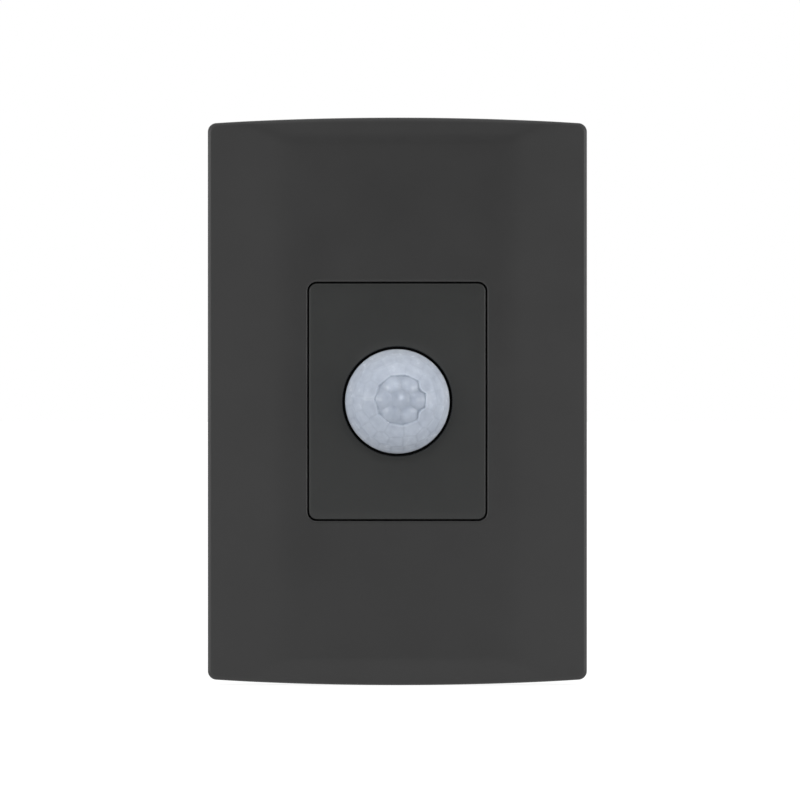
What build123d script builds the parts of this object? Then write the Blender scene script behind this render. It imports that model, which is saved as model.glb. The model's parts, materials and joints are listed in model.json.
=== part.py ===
"""Motion sensor light switch: a wall plate, its sensing module and everything inside the module.

Millimetres. The origin is the centre of the wall face of the mounting frame. +Z is up, +X is to the
right as seen from the room, and the front of the switch looks along -Y. A level is a distance in
front of the wall, so a piece in the wall box has a negative level.
"""

import os
from math import cos, radians, sin, tan

from build123d import *

# Front plate
plate_width = 80.2
plate_height = 120.0
plate_arch = 1.23
plate_corner_radius = 2.0
plate_level = 8.0
plate_wall = 2.0
plate_edge_chamfer = 0.5
field_side_margin = 4.9
end_slope_width = 4.6
side_fall = 5.6
end_fall = 12.0
side_blend_radius = 52.0
end_blend_radius = 14.0
wall_gap = 0.3

# Window and module cover
window_width = 38.0
window_height = 50.5
window_corner_radius = 2.0
window_gap = 0.3
window_edge_chamfer = 0.2
window_wall = 1.4
window_wall_level = 3.2
cover_level = 7.8
cover_wall = 1.8
cover_skirt = 1.5
cover_edge_chamfer = 0.3

# Mounting frame
frame_side_margin = 4.1
frame_end_margin = 4.0
frame_corner_radius = 4.0
frame_level = 2.5
frame_rim_level = 4.0
frame_rim_wall = 1.2
bolt_spacing = 83.5
bolt_slot_width = 4.0
bolt_slot_length = 7.0
bolt_pad_width = 12.0
bolt_pad_length = 14.0
bolt_pad_level = 3.1
frame_rib_width = 1.2
frame_rib_gap = 1.4

# Hooks of the frame that hold the cover
hook_width = 6.0
hook_wall = 1.2
hook_level = 5.2
hook_nose = 0.5
hook_nose_length = 1.0
hook_spacing = 26.0
hook_play = 0.15
hook_notch_play = 0.8

# Tongues of the plate, their sockets in the frame, and the plate's ribs
tongue_width = 7.0
tongue_thickness = 1.6
tongue_play = 0.15
tongue_side_inset = 11.1
tongue_end_inset = 14.0
tongue_end_level = 1.0
tongue_lead = 0.4
socket_wall = 1.5
socket_level = 4.6
socket_floor = 0.7
rib_width = 1.2
rib_level = 4.9
rib_spacing_x = 50.0
rib_spacing_z = 66.0

# Rear housing
housing_width = 34.0
housing_height = 46.4
housing_corner_radius = 2.5
housing_wall = 1.6
housing_floor = 1.8
housing_level = 5.5
housing_back_level = -32.0
housing_back_chamfer = 1.2
frame_play = 0.3
catch_width = 6.0
catch_height = 0.2
catch_length = 1.2
catch_level = 4.0
vent_width = 1.4
vent_length = 9.0
vent_spacing = 3.4
vent_level = -8.0
vent_count = 4
ledge_width = 2.3
ledge_length = 2.6
access_radius = 1.95
dial_hole_radius = 2.0

# Fresnel lens and its retainer
lens_radius = 11.03
lens_sphere_radius = 11.26
lens_centre_level = 5.5
lens_wall = 0.7
lens_tilts = (21.0, 42.0, 60.0)
lens_counts = (6, 12, 12)
lens_hole_radius = 11.6
lens_flange_radius = 13.0
lens_flange = 1.2
retainer_half_width = 13.3
retainer_corner = 4.0
retainer_bore = 10.6
retainer_thickness = 1.2
prong_gap = 0.15
prong_wall = 1.0
prong_nose = 0.6
prong_width = 8.0

# Sensor board and what stands on it
board_width = 30.2
board_height = 42.6
sensor_board_level = 2.2
board_thickness = 1.2
board_corner = 0.8
board_post_width = 3.6
board_post_length = 3.0
board_prong_x = 13.9
board_prong_width = 4.0
board_prong_spacing = 30.0
spacer_width = 9.6
spacer_corner = 2.0
spacer_height = 1.2
can_flange_radius = 4.6
can_flange = 0.5
can_radius = 4.1
can_height = 4.2
can_window_width = 4.0
can_window_height = 3.0
can_window_depth = 0.4
lead_width = 0.45
lead_circle_radius = 2.54
lead_play = 0.1
lead_reach = 1.0
lead_angles = (45.0, 135.0, 225.0)
light_cell_x = 7.6
light_cell_radius = 1.5
light_cell_height = 2.0
chip_width = 10.0
chip_height = 3.9
chip_thickness = 1.5
chip_z = -16.6
chip_leg_width = 0.42
chip_leg_pitch = 1.27
chip_leg_reach = 1.0
chip_leg_thickness = 0.3
chip_leg_count = 7

# Power board and what stands on its front
power_board_level = -15.6
header_z = -8.3
header_depth = 2.5
header_height = 2.5
pin_pitch = 2.54
pin_count = 6
pin_width = 0.6
pin_play = 0.15
pin_reach = 1.0
film_x = -4.5
film_z = -15.4
film_width = 18.0
film_depth = 7.0
film_height = 13.0
film_edge_chamfer = 0.6
supply_x = 9.4
supply_z = -16.2
supply_radius = 4.5
supply_height = 12.5
output_x = -11.1
output_z = -5.9
output_radius = 3.15
output_height = 11.0
bridge_x = 9.4
bridge_z = -3.2
bridge_width = 8.3
bridge_depth = 6.4
bridge_height = 3.2
bridge_edge_chamfer = 0.3
varistor_x = 7.4
varistor_z = 5.6
varistor_radius = 4.5
varistor_thickness = 3.6
varistor_lift = 0.4
regulator_x = -3.2
regulator_z = -3.6
regulator_radius = 2.3
regulator_flat = 1.3
regulator_height = 4.6
resistor_x = 7.9
resistor_z = 14.8
resistor_radius = 1.9
resistor_length = 9.0

# Relay
relay_x = -7.1
relay_z = 11.1
relay_width = 15.4
relay_length = 19.0
relay_height = 15.0
relay_base_height = 1.6
relay_wall = 0.8
relay_edge_chamfer = 0.6
relay_pin_spacing_x = 10.0
relay_pin_spacing_z = 14.0
coil_offset = -2.2
coil_radius = 4.7
bobbin_width = 10.0
bobbin_flange = 0.8
bobbin_tube_width = 5.4
core_radius = 2.0
core_play = 0.1
pole_radius = 3.0
pole_thickness = 0.6
pole_level = -4.6
yoke_width = 9.0
yoke_thickness = 1.0
yoke_z = 2.5
armature_gap = 0.15
pivot_radius = 0.3
pivot_play = 0.04
armature_thickness = 0.9
armature_length = 11.2
armature_width = 8.6
armature_angle = 3.0
strip_width = 3.0
strip_thickness = 0.25
strip_start = 5.5
strip_end = 15.2
contact_reach = 14.2
contact_radius = 1.1
contact_height = 0.8
contact_gap = 0.1
contact_post_width = 3.6
contact_post_thickness = 0.8
contact_post_z = 18.9
contact_shelf_length = 3.6

# Dials
dial_x = 7.5
dial_z = 8.0
dial_body_width = 6.6
dial_body_depth = 4.5
dial_bore_depth = 3.7
dial_play = 0.08
dial_shaft_radius = 1.7
dial_shaft_recess = 0.4
dial_slot_width = 0.8
dial_slot_depth = 1.0

# Terminals
pole_pitch = 8.0
pole_count = 3
pole_z = -16.6
block_width = 25.4
block_low_z = -21.3
block_high_z = -9.4
block_back_level = -30.0
pocket_width = 6.6
pocket_length = 6.2
pocket_level = -17.6
bar_level = -21.1
bar_width = 4.0
bar_thickness = 1.0
bar_play = 0.1
bar_low_z = -19.4
bar_high_z = -10.5
tail_thickness = 0.8
tail_width = 1.2
tail_reach = 1.0
clamp_width = 5.8
clamp_length = 5.2
clamp_inner_width = 4.5
clamp_cheek = 1.5
clamp_foot = 0.8
clamp_gap = 0.3
wire_space = 2.4
thread_radius = 1.5
thread_play = 0.08
thread_tip_gap = 0.1
terminal_head_radius = 2.5
terminal_head = 1.6
terminal_head_level = -29.8
terminal_slot_width = 0.8
terminal_slot_depth = 1.0
wire_hole_width = 2.8
wire_level = -19.9

overrun = 1.0
tolerance = 0.01

os.makedirs("parts", exist_ok=True)


def front_plane(level):
    """Plane at a level in front of the wall, looking into the room."""
    return Plane.XZ.offset(level)


def near_level(shapes, level):
    """Those of the shapes whose centre lies at a level."""
    return shapes.filter_by(lambda shape: abs(shape.center().Y + level) < tolerance)


def arched_outline(skin):
    """Plate outline with its slightly arched ends, drawn in by the skin."""
    half = plate_width / 2 - skin
    crown = plate_height / 2 - skin
    corner = crown - plate_arch
    with BuildSketch() as outline:
        with BuildLine():
            ThreePointArc((-half, corner), (0, crown), (half, corner))
            Line((half, corner), (half, -corner))
            ThreePointArc((half, -corner), (0, -crown), (-half, -corner))
            Line((-half, -corner), (-half, corner))
        make_face()
        fillet(outline.vertices(), radius=plate_corner_radius - skin / 2)
    return outline.sketch


def brow_profile(reach, half_field, fall, blend, skin):
    """Section of the plate's front: a flat field that falls away softly on both sides."""
    crest = plate_level - skin
    foot = crest - (reach - half_field) * tan(radians(fall))
    with BuildSketch() as profile:
        with BuildLine():
            Polyline(
                (-reach, 0),
                (-reach, foot),
                (-half_field, crest),
                (half_field, crest),
                (reach, foot),
                (reach, 0),
                close=True,
            )
        make_face()
        fillet(profile.vertices().group_by(Axis.Y)[-1], radius=blend)
    return profile.sketch


def plate_form(back_level, skin):
    """Outer form of the front plate, or with a skin the form of its hollow."""
    across = Plane(origin=(0, 0, 0), x_dir=(1, 0, 0), z_dir=(0, 0, -1))
    along = Plane(origin=(0, 0, 0), x_dir=(0, 0, 1), z_dir=(1, 0, 0))
    side_reach = plate_width / 2 + overrun
    end_reach = plate_height / 2 + overrun
    half_field_width = window_width / 2 + field_side_margin
    half_field_height = plate_height / 2 - end_slope_width
    with BuildPart() as form:
        with BuildSketch(front_plane(back_level)):
            add(arched_outline(skin))
        extrude(amount=plate_level - skin - back_level)
        with BuildSketch(across):
            add(brow_profile(side_reach, half_field_width, side_fall, side_blend_radius, skin))
        extrude(amount=plate_height, both=True, mode=Mode.INTERSECT)
        with BuildSketch(along):
            add(brow_profile(end_reach, half_field_height, end_fall, end_blend_radius, skin))
        extrude(amount=plate_width, both=True, mode=Mode.INTERSECT)
    return form.part


def hook_profiles(inner, wall, root_level, tip_level, nose, nose_length):
    """Left and right hook seen along Z, nose inwards. A negative nose length makes it point back."""
    with BuildSketch() as hooks:
        for side in (-1, 1):
            with BuildLine():
                Polyline(
                    (side * inner, -root_level),
                    (side * (inner + wall), -root_level),
                    (side * (inner + wall), -tip_level),
                    (side * inner, -tip_level),
                    (side * (inner - nose), -tip_level + nose_length / 2),
                    (side * (inner - nose), -tip_level + nose_length),
                    (side * inner, -tip_level + nose_length),
                    close=True,
                )
            make_face()
    return hooks.sketch


# Front plate
tongue_spacing_x = plate_width - 2 * tongue_side_inset
tongue_spacing_z = plate_height - 2 * tongue_end_inset
with BuildPart() as front_plate:
    add(plate_form(wall_gap, 0))
    side_walls = front_plate.faces().filter_by(lambda face: abs(face.normal_at().Y) < tolerance)
    rim_edges = side_walls.edges().filter_by(lambda edge: -edge.center().Y > plate_level / 2)
    chamfer(rim_edges, length=plate_edge_chamfer)
    add(plate_form(0, plate_wall), mode=Mode.SUBTRACT)
    # ribs across the back of the field
    with BuildSketch(front_plane(rib_level)):
        with GridLocations(rib_spacing_x, 0, 2, 1):
            Rectangle(rib_width, rib_spacing_z)
        with GridLocations(0, rib_spacing_z, 1, 2):
            Rectangle(rib_spacing_x + rib_width, rib_width)
    extrude(amount=plate_level - plate_wall / 2 - rib_level)
    # wall round the window
    with BuildSketch(front_plane(window_wall_level)):
        Rectangle(window_width + 2 * window_wall, window_height + 2 * window_wall)
    extrude(amount=plate_level - plate_wall / 2 - window_wall_level)
    with BuildSketch(front_plane(window_wall_level - overrun)):
        RectangleRounded(window_width, window_height, window_corner_radius)
    extrude(amount=plate_level - window_wall_level + 2 * overrun, mode=Mode.SUBTRACT)
    window_edges = front_plate.edges().filter_by(
        lambda edge: -edge.center().Y > plate_level - plate_wall
        and abs(edge.center().X) < window_width / 2 + tolerance
        and abs(edge.center().Z) < window_height / 2 + tolerance
    )
    chamfer(window_edges, length=window_edge_chamfer)
    # room for the four hooks of the frame
    with BuildSketch(front_plane(window_wall_level - overrun)):
        with GridLocations(window_width + window_wall, hook_spacing, 2, 2):
            Rectangle(window_wall + hook_notch_play, hook_width + 2 * hook_notch_play)
    extrude(amount=hook_level + hook_notch_play - window_wall_level + overrun, mode=Mode.SUBTRACT)
    # tongues that fasten the plate
    with BuildSketch(front_plane(tongue_end_level)):
        with GridLocations(tongue_spacing_x, tongue_spacing_z, 2, 2):
            Rectangle(tongue_width, tongue_thickness)
    extrude(amount=plate_level - plate_wall - tongue_end_level)
    tongue_ends = near_level(front_plate.edges(), tongue_end_level)
    chamfer(tongue_ends, length=tongue_lead)
front_plate.part.label = "front_plate"
export_step(front_plate.part, "parts/front_plate.step")

# Mounting frame
frame_width = plate_width - 2 * frame_side_margin
frame_height = plate_height - 2 * frame_end_margin
opening_width = housing_width + 2 * frame_play
opening_height = housing_height + 2 * frame_play
cover_width = window_width - 2 * window_gap
cover_height = window_height - 2 * window_gap
cover_corner_radius = window_corner_radius - window_gap
socket_width = tongue_width + 2 * tongue_play
socket_thickness = tongue_thickness + 2 * tongue_play
with BuildPart() as mounting_frame:
    with BuildSketch(front_plane(0)):
        RectangleRounded(frame_width, frame_height, frame_corner_radius)
    extrude(amount=frame_rim_level)
    with BuildSketch(front_plane(frame_level)):
        RectangleRounded(
            frame_width - 2 * frame_rim_wall,
            frame_height - 2 * frame_rim_wall,
            frame_corner_radius - frame_rim_wall,
        )
    extrude(amount=frame_rim_level, mode=Mode.SUBTRACT)
    # pads round the two screw slots and ribs above and below the opening
    with BuildSketch(front_plane(frame_level / 2)):
        with GridLocations(0, bolt_spacing, 1, 2):
            Rectangle(bolt_pad_width, bolt_pad_length)
        with GridLocations(0, cover_height + 2 * frame_rib_gap + frame_rib_width, 1, 2):
            Rectangle(frame_width, frame_rib_width)
        Rectangle(
            frame_width - frame_rim_wall,
            frame_height - frame_rim_wall,
            mode=Mode.INTERSECT,
        )
    extrude(amount=bolt_pad_level - frame_level / 2)
    # sockets for the tongues of the plate
    with BuildSketch(front_plane(frame_level / 2)):
        with GridLocations(tongue_spacing_x, tongue_spacing_z, 2, 2):
            Rectangle(socket_width + 2 * socket_wall, socket_thickness + 2 * socket_wall)
    extrude(amount=socket_level - frame_level / 2)
    with BuildSketch(front_plane(socket_floor)):
        with GridLocations(tongue_spacing_x, tongue_spacing_z, 2, 2):
            Rectangle(socket_width, socket_thickness)
    extrude(amount=socket_level, mode=Mode.SUBTRACT)
    # opening for the module
    with BuildSketch(front_plane(-overrun)):
        RectangleRounded(opening_width, opening_height, housing_corner_radius + frame_play)
    extrude(amount=frame_rim_level + 2 * overrun, mode=Mode.SUBTRACT)
    # slots for the box screws
    with BuildSketch(front_plane(-overrun)):
        with GridLocations(0, bolt_spacing, 1, 2):
            SlotOverall(bolt_slot_length, bolt_slot_width, rotation=90)
    extrude(amount=bolt_pad_level + 2 * overrun, mode=Mode.SUBTRACT)
    # hooks that hold the module's cover
    for middle in (-hook_spacing / 2, hook_spacing / 2):
        with BuildSketch(Plane.XY.offset(middle - hook_width / 2)):
            add(
                hook_profiles(
                    cover_width / 2 + hook_play,
                    hook_wall,
                    frame_level / 2,
                    hook_level,
                    hook_nose,
                    hook_nose_length,
                )
            )
        extrude(amount=hook_width)
mounting_frame.part.label = "mounting_frame"
export_step(mounting_frame.part, "parts/mounting_frame.step")

# Sensor cover
ceiling_level = cover_level - cover_wall
flange_level = ceiling_level - lens_flange
retainer_level = flange_level - retainer_thickness
board_back_level = sensor_board_level - board_thickness
with BuildPart() as sensor_cover:
    with BuildSketch(front_plane(frame_level)):
        RectangleRounded(cover_width, cover_height, cover_corner_radius)
    extrude(amount=cover_level - frame_level)
    chamfer(near_level(sensor_cover.faces(), cover_level).edges(), length=cover_edge_chamfer)
    with BuildSketch(front_plane(frame_level)):
        RectangleRounded(
            cover_width - 2 * cover_skirt,
            cover_height - 2 * cover_skirt,
            cover_corner_radius,
        )
    extrude(amount=ceiling_level - frame_level, mode=Mode.SUBTRACT)
    # round hole for the lens
    with BuildSketch(front_plane(frame_level)):
        Circle(lens_hole_radius)
    extrude(amount=cover_level, mode=Mode.SUBTRACT)
    # posts that the sensor board lies against
    with BuildSketch(front_plane(sensor_board_level)):
        with GridLocations(
            board_width - board_post_width,
            board_height - board_post_length - 2 * board_corner,
            2,
            2,
        ):
            Rectangle(board_post_width, board_post_length)
    extrude(amount=ceiling_level + cover_wall / 2 - sensor_board_level)
    # pockets for the hooks of the frame
    with BuildSketch(front_plane(frame_level - overrun)):
        with GridLocations(cover_width, hook_spacing, 2, 2):
            Rectangle(2 * hook_nose, hook_width + 2 * hook_play)
    extrude(amount=hook_level + hook_play - frame_level + overrun, mode=Mode.SUBTRACT)
    # prongs that hold the sensor board
    for middle in (-board_prong_spacing / 2, board_prong_spacing / 2):
        with BuildSketch(Plane.XY.offset(middle - board_prong_width / 2)):
            add(
                hook_profiles(
                    board_prong_x,
                    prong_wall,
                    ceiling_level + cover_wall / 2,
                    board_back_level - prong_nose - prong_gap / 2,
                    prong_nose,
                    -prong_nose,
                )
            )
        extrude(amount=board_prong_width)
    # prongs that hold the lens retainer
    with BuildSketch(Plane.XY.offset(-prong_width / 2)):
        add(
            hook_profiles(
                retainer_half_width + prong_gap,
                prong_wall,
                ceiling_level + cover_wall / 2,
                retainer_level - prong_nose - prong_gap / 2,
                prong_nose,
                -prong_nose,
            )
        )
    extrude(amount=prong_width)
sensor_cover.part.label = "sensor_cover"
export_step(sensor_cover.part, "parts/sensor_cover.step")

# Rear housing
pole_xs = [pole_pitch * (index - (pole_count - 1) / 2) for index in range(pole_count)]
housing_inner_width = housing_width - 2 * housing_wall
housing_inner_height = housing_height - 2 * housing_wall
inner_back_level = housing_back_level + housing_floor
power_back_level = power_board_level - board_thickness
with BuildPart() as rear_housing:
    with BuildSketch(front_plane(housing_back_level)):
        RectangleRounded(housing_width, housing_height, housing_corner_radius)
    extrude(amount=housing_level - housing_back_level)
    chamfer(near_level(rear_housing.faces(), housing_back_level).edges(), length=housing_back_chamfer)
    with BuildSketch(front_plane(inner_back_level)):
        Rectangle(housing_inner_width, housing_inner_height)
    extrude(amount=housing_level - inner_back_level + overrun, mode=Mode.SUBTRACT)
    # ledges under the corners of the power board
    with BuildSketch(front_plane(inner_back_level - housing_floor / 2)):
        with GridLocations(
            housing_inner_width - ledge_width + housing_wall / 2,
            housing_inner_height - ledge_length + housing_wall / 2,
            2,
            2,
        ):
            Rectangle(ledge_width + housing_wall / 2, ledge_length + housing_wall / 2)
    extrude(amount=power_back_level - inner_back_level + housing_floor / 2)
    # catches under the cover
    with BuildSketch(front_plane(catch_level - catch_length)):
        Rectangle(housing_width + 2 * catch_height, catch_width)
        Rectangle(housing_inner_width, catch_width, mode=Mode.SUBTRACT)
    extrude(amount=catch_length)
    # holes over the terminal screws and the dials
    with BuildSketch(front_plane(housing_back_level - overrun)):
        with Locations(*[(x, pole_z) for x in pole_xs]):
            Circle(access_radius)
        with Locations((-dial_x, dial_z), (dial_x, dial_z)):
            Circle(dial_hole_radius)
    extrude(amount=housing_floor + 2 * overrun, mode=Mode.SUBTRACT)
    # holes for the wires in the lower wall
    with BuildSketch(Plane.XY.offset(-housing_height / 2 - overrun)):
        with Locations(*[(x, -wire_level) for x in pole_xs]):
            Rectangle(wire_hole_width, wire_hole_width)
    extrude(amount=housing_wall + 2 * overrun, mode=Mode.SUBTRACT)
    # cooling slots in both side walls beside the relay
    with BuildSketch(Plane.YZ.offset(-housing_width / 2 - overrun)):
        with Locations((-vent_level, relay_z)):
            with GridLocations(0, vent_spacing, 1, vent_count):
                Rectangle(vent_length, vent_width)
    extrude(amount=housing_width + 2 * overrun, mode=Mode.SUBTRACT)
rear_housing.part.label = "rear_housing"
export_step(rear_housing.part, "parts/rear_housing.step")

# Fresnel lens


def lens_facets(radius):
    """Planes of the lenslets, all at one distance from the centre of the dome."""
    directions = [(0, 0)]
    for tilt, count in zip(lens_tilts, lens_counts):
        directions += [(tilt, 360 * (index + 1 / 2) / count) for index in range(count)]
    facets = []
    for tilt, turn in directions:
        across = sin(radians(tilt)) * cos(radians(turn))
        up = sin(radians(tilt)) * sin(radians(turn))
        out = cos(radians(tilt))
        origin = (radius * across, -lens_centre_level - radius * out, radius * up)
        facets.append(Plane(origin=origin, z_dir=(across, -out, up)))
    return facets


blank_height = lens_centre_level + lens_sphere_radius + overrun - flange_level
with BuildPart() as lens_hollow:
    with BuildSketch(front_plane(flange_level - overrun)):
        Circle(lens_radius - lens_wall)
    extrude(amount=blank_height)
    for facet in lens_facets(lens_sphere_radius - lens_wall):
        split(bisect_by=facet, keep=Keep.BOTTOM)
with BuildPart() as fresnel_lens:
    with BuildSketch(front_plane(flange_level)):
        Circle(lens_radius)
    extrude(amount=blank_height)
    for facet in lens_facets(lens_sphere_radius):
        split(bisect_by=facet, keep=Keep.BOTTOM)
    with BuildSketch(front_plane(flange_level)):
        Circle(lens_flange_radius)
    extrude(amount=lens_flange)
    add(lens_hollow.part, mode=Mode.SUBTRACT)
fresnel_lens.part.label = "fresnel_lens"
export_step(fresnel_lens.part, "parts/fresnel_lens.step")

# Lens retainer
with BuildPart() as lens_retainer:
    with BuildSketch(front_plane(retainer_level)) as retainer_outline:
        Rectangle(2 * retainer_half_width, 2 * retainer_half_width)
        chamfer(retainer_outline.vertices(), length=retainer_corner)
        Circle(retainer_bore, mode=Mode.SUBTRACT)
    extrude(amount=retainer_thickness)
lens_retainer.part.label = "lens_retainer"
export_step(lens_retainer.part, "parts/lens_retainer.step")

# Sensor board
lead_places = [
    (lead_circle_radius * cos(radians(angle)), lead_circle_radius * sin(radians(angle)))
    for angle in lead_angles
]
pin_xs = [pin_pitch * (index - (pin_count - 1) / 2) for index in range(pin_count)]
notch_depth = board_width / 2 - board_prong_x + prong_gap
with BuildPart() as sensor_board:
    with BuildSketch(front_plane(board_back_level)) as sensor_board_outline:
        Rectangle(board_width, board_height)
        chamfer(sensor_board_outline.vertices(), length=board_corner)
        # notches for the prongs of the cover
        with GridLocations(board_width, board_prong_spacing, 2, 2):
            Rectangle(2 * notch_depth, board_prong_width + 2 * prong_gap, mode=Mode.SUBTRACT)
        with Locations(*lead_places):
            Rectangle(lead_width + 2 * lead_play, lead_width + 2 * lead_play, mode=Mode.SUBTRACT)
        with Locations(*[(x, header_z) for x in pin_xs]):
            Rectangle(pin_width + 2 * pin_play, pin_width + 2 * pin_play, mode=Mode.SUBTRACT)
    extrude(amount=board_thickness)
sensor_board.part.label = "sensor_board"
export_step(sensor_board.part, "parts/sensor_board.step")

# Infrared sensor: spacer, can with its leads, and window
can_level = sensor_board_level + spacer_height
with BuildPart() as sensor_spacer:
    with BuildSketch(front_plane(sensor_board_level)) as spacer_outline:
        Rectangle(spacer_width, spacer_width)
        chamfer(spacer_outline.vertices(), length=spacer_corner)
        with Locations(*lead_places):
            Rectangle(lead_width + 2 * lead_play, lead_width + 2 * lead_play, mode=Mode.SUBTRACT)
    extrude(amount=spacer_height)
sensor_spacer.part.label = "sensor_spacer"
export_step(sensor_spacer.part, "parts/sensor_spacer.step")

with BuildPart() as infrared_sensor:
    with BuildSketch(front_plane(can_level)):
        Circle(can_flange_radius)
    extrude(amount=can_flange)
    with BuildSketch(front_plane(can_level)):
        Circle(can_radius)
    extrude(amount=can_height)
    with BuildSketch(front_plane(can_level + can_height - can_window_depth)):
        Rectangle(can_window_width, can_window_height)
    extrude(amount=can_window_depth, mode=Mode.SUBTRACT)
    with BuildSketch(front_plane(board_back_level - lead_reach)):
        with Locations(*lead_places):
            Rectangle(lead_width, lead_width)
    extrude(amount=can_level + can_flange / 2 - board_back_level + lead_reach)
infrared_sensor.part.label = "infrared_sensor"
export_step(infrared_sensor.part, "parts/infrared_sensor.step")

with BuildPart() as infrared_window:
    with BuildSketch(front_plane(can_level + can_height - can_window_depth)):
        Rectangle(can_window_width, can_window_height)
    extrude(amount=can_window_depth)
infrared_window.part.label = "infrared_window"
export_step(infrared_window.part, "parts/infrared_window.step")

# Light cell
with BuildPart() as light_cell:
    with BuildSketch(front_plane(sensor_board_level)):
        with Locations((light_cell_x, 0)):
            Circle(light_cell_radius)
    extrude(amount=light_cell_height)
light_cell.part.label = "light_cell"
export_step(light_cell.part, "parts/light_cell.step")

# Control chip
with BuildPart() as control_chip:
    with BuildSketch(front_plane(sensor_board_level + chip_leg_thickness)):
        with Locations((0, chip_z)):
            Rectangle(chip_width, chip_height)
    extrude(amount=chip_thickness)
    with BuildSketch(front_plane(sensor_board_level)):
        with Locations((0, chip_z)):
            with GridLocations(chip_leg_pitch, 0, chip_leg_count, 1):
                Rectangle(chip_leg_width, chip_height + 2 * chip_leg_reach)
    extrude(amount=chip_leg_thickness)
control_chip.part.label = "control_chip"
export_step(control_chip.part, "parts/control_chip.step")

# Power board with holes for the pins that pass through it
relay_pin_places = [
    (relay_x + side * relay_pin_spacing_x / 2, relay_z + end * relay_pin_spacing_z / 2)
    for side in (-1, 1)
    for end in (-1, 1)
]
tail_z = bar_high_z - tail_thickness / 2
with BuildPart() as power_board:
    with BuildSketch(front_plane(power_back_level)) as power_board_outline:
        Rectangle(board_width, board_height)
        chamfer(power_board_outline.vertices(), length=board_corner)
        with Locations(*[(x, header_z) for x in pin_xs], *relay_pin_places):
            Rectangle(pin_width + 2 * pin_play, pin_width + 2 * pin_play, mode=Mode.SUBTRACT)
        with Locations(*[(x, tail_z) for x in pole_xs]):
            Rectangle(tail_width + 2 * pin_play, tail_thickness + 2 * pin_play, mode=Mode.SUBTRACT)
    extrude(amount=board_thickness)
power_board.part.label = "power_board"
export_step(power_board.part, "parts/power_board.step")

# Pin header between the boards
with BuildPart() as header_strip:
    with BuildSketch(front_plane(power_board_level)):
        with Locations((0, header_z)):
            Rectangle(pin_pitch * pin_count, header_depth)
        with Locations(*[(x, header_z) for x in pin_xs]):
            Rectangle(pin_width, pin_width, mode=Mode.SUBTRACT)
    extrude(amount=header_height)
header_strip.part.label = "header_strip"
export_step(header_strip.part, "parts/header_strip.step")

with BuildPart() as header_pins:
    with BuildSketch(front_plane(power_back_level - pin_reach)):
        with Locations(*[(x, header_z) for x in pin_xs]):
            Rectangle(pin_width, pin_width)
    extrude(amount=sensor_board_level - power_back_level + 2 * pin_reach)
header_pins.part.label = "header_pins"
export_step(header_pins.part, "parts/header_pins.step")

# Components on the power board
with BuildPart() as film_capacitor:
    with BuildSketch(front_plane(power_board_level)):
        with Locations((film_x, film_z)):
            Rectangle(film_width, film_depth)
    extrude(amount=film_height)
    film_top = near_level(film_capacitor.faces(), power_board_level + film_height)
    chamfer(film_top.edges(), length=film_edge_chamfer)
film_capacitor.part.label = "film_capacitor"
export_step(film_capacitor.part, "parts/film_capacitor.step")

with BuildPart() as supply_capacitor:
    with BuildSketch(front_plane(power_board_level)):
        with Locations((supply_x, supply_z)):
            Circle(supply_radius)
    extrude(amount=supply_height)
supply_capacitor.part.label = "supply_capacitor"
export_step(supply_capacitor.part, "parts/supply_capacitor.step")

with BuildPart() as output_capacitor:
    with BuildSketch(front_plane(power_board_level)):
        with Locations((output_x, output_z)):
            Circle(output_radius)
    extrude(amount=output_height)
output_capacitor.part.label = "output_capacitor"
export_step(output_capacitor.part, "parts/output_capacitor.step")

with BuildPart() as bridge_rectifier:
    with BuildSketch(front_plane(power_board_level)):
        with Locations((bridge_x, bridge_z)):
            Rectangle(bridge_width, bridge_depth)
    extrude(amount=bridge_height)
    bridge_top = near_level(bridge_rectifier.faces(), power_board_level + bridge_height)
    chamfer(bridge_top.edges(), length=bridge_edge_chamfer)
bridge_rectifier.part.label = "bridge_rectifier"
export_step(bridge_rectifier.part, "parts/bridge_rectifier.step")

varistor_level = power_board_level + varistor_lift + varistor_radius
with BuildPart() as varistor:
    with BuildSketch(Plane.XY.offset(varistor_z - varistor_thickness / 2)):
        with Locations((varistor_x, -varistor_level)):
            Circle(varistor_radius)
    extrude(amount=varistor_thickness)
    # the two leads it stands on
    with BuildSketch(front_plane(power_board_level)):
        with Locations((varistor_x, varistor_z)):
            with GridLocations(varistor_radius, 0, 2, 1):
                Rectangle(lead_width, lead_width)
    extrude(amount=varistor_lift + varistor_radius / 2)
varistor.part.label = "varistor"
export_step(varistor.part, "parts/varistor.step")

with BuildPart() as voltage_regulator:
    with BuildSketch(front_plane(power_board_level)):
        with Locations((regulator_x, regulator_z)):
            Circle(regulator_radius)
        with Locations((regulator_x, regulator_z - regulator_flat)):
            Rectangle(
                2 * regulator_radius,
                regulator_radius,
                align=(Align.CENTER, Align.MAX),
                mode=Mode.SUBTRACT,
            )
    extrude(amount=regulator_height)
voltage_regulator.part.label = "voltage_regulator"
export_step(voltage_regulator.part, "parts/voltage_regulator.step")

with BuildPart() as fuse_resistor:
    with BuildSketch(Plane.XY.offset(resistor_z - resistor_length / 2)):
        with Locations((resistor_x, -power_board_level - resistor_radius)):
            Circle(resistor_radius)
    extrude(amount=resistor_length)
fuse_resistor.part.label = "fuse_resistor"
export_step(fuse_resistor.part, "parts/fuse_resistor.step")

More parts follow.
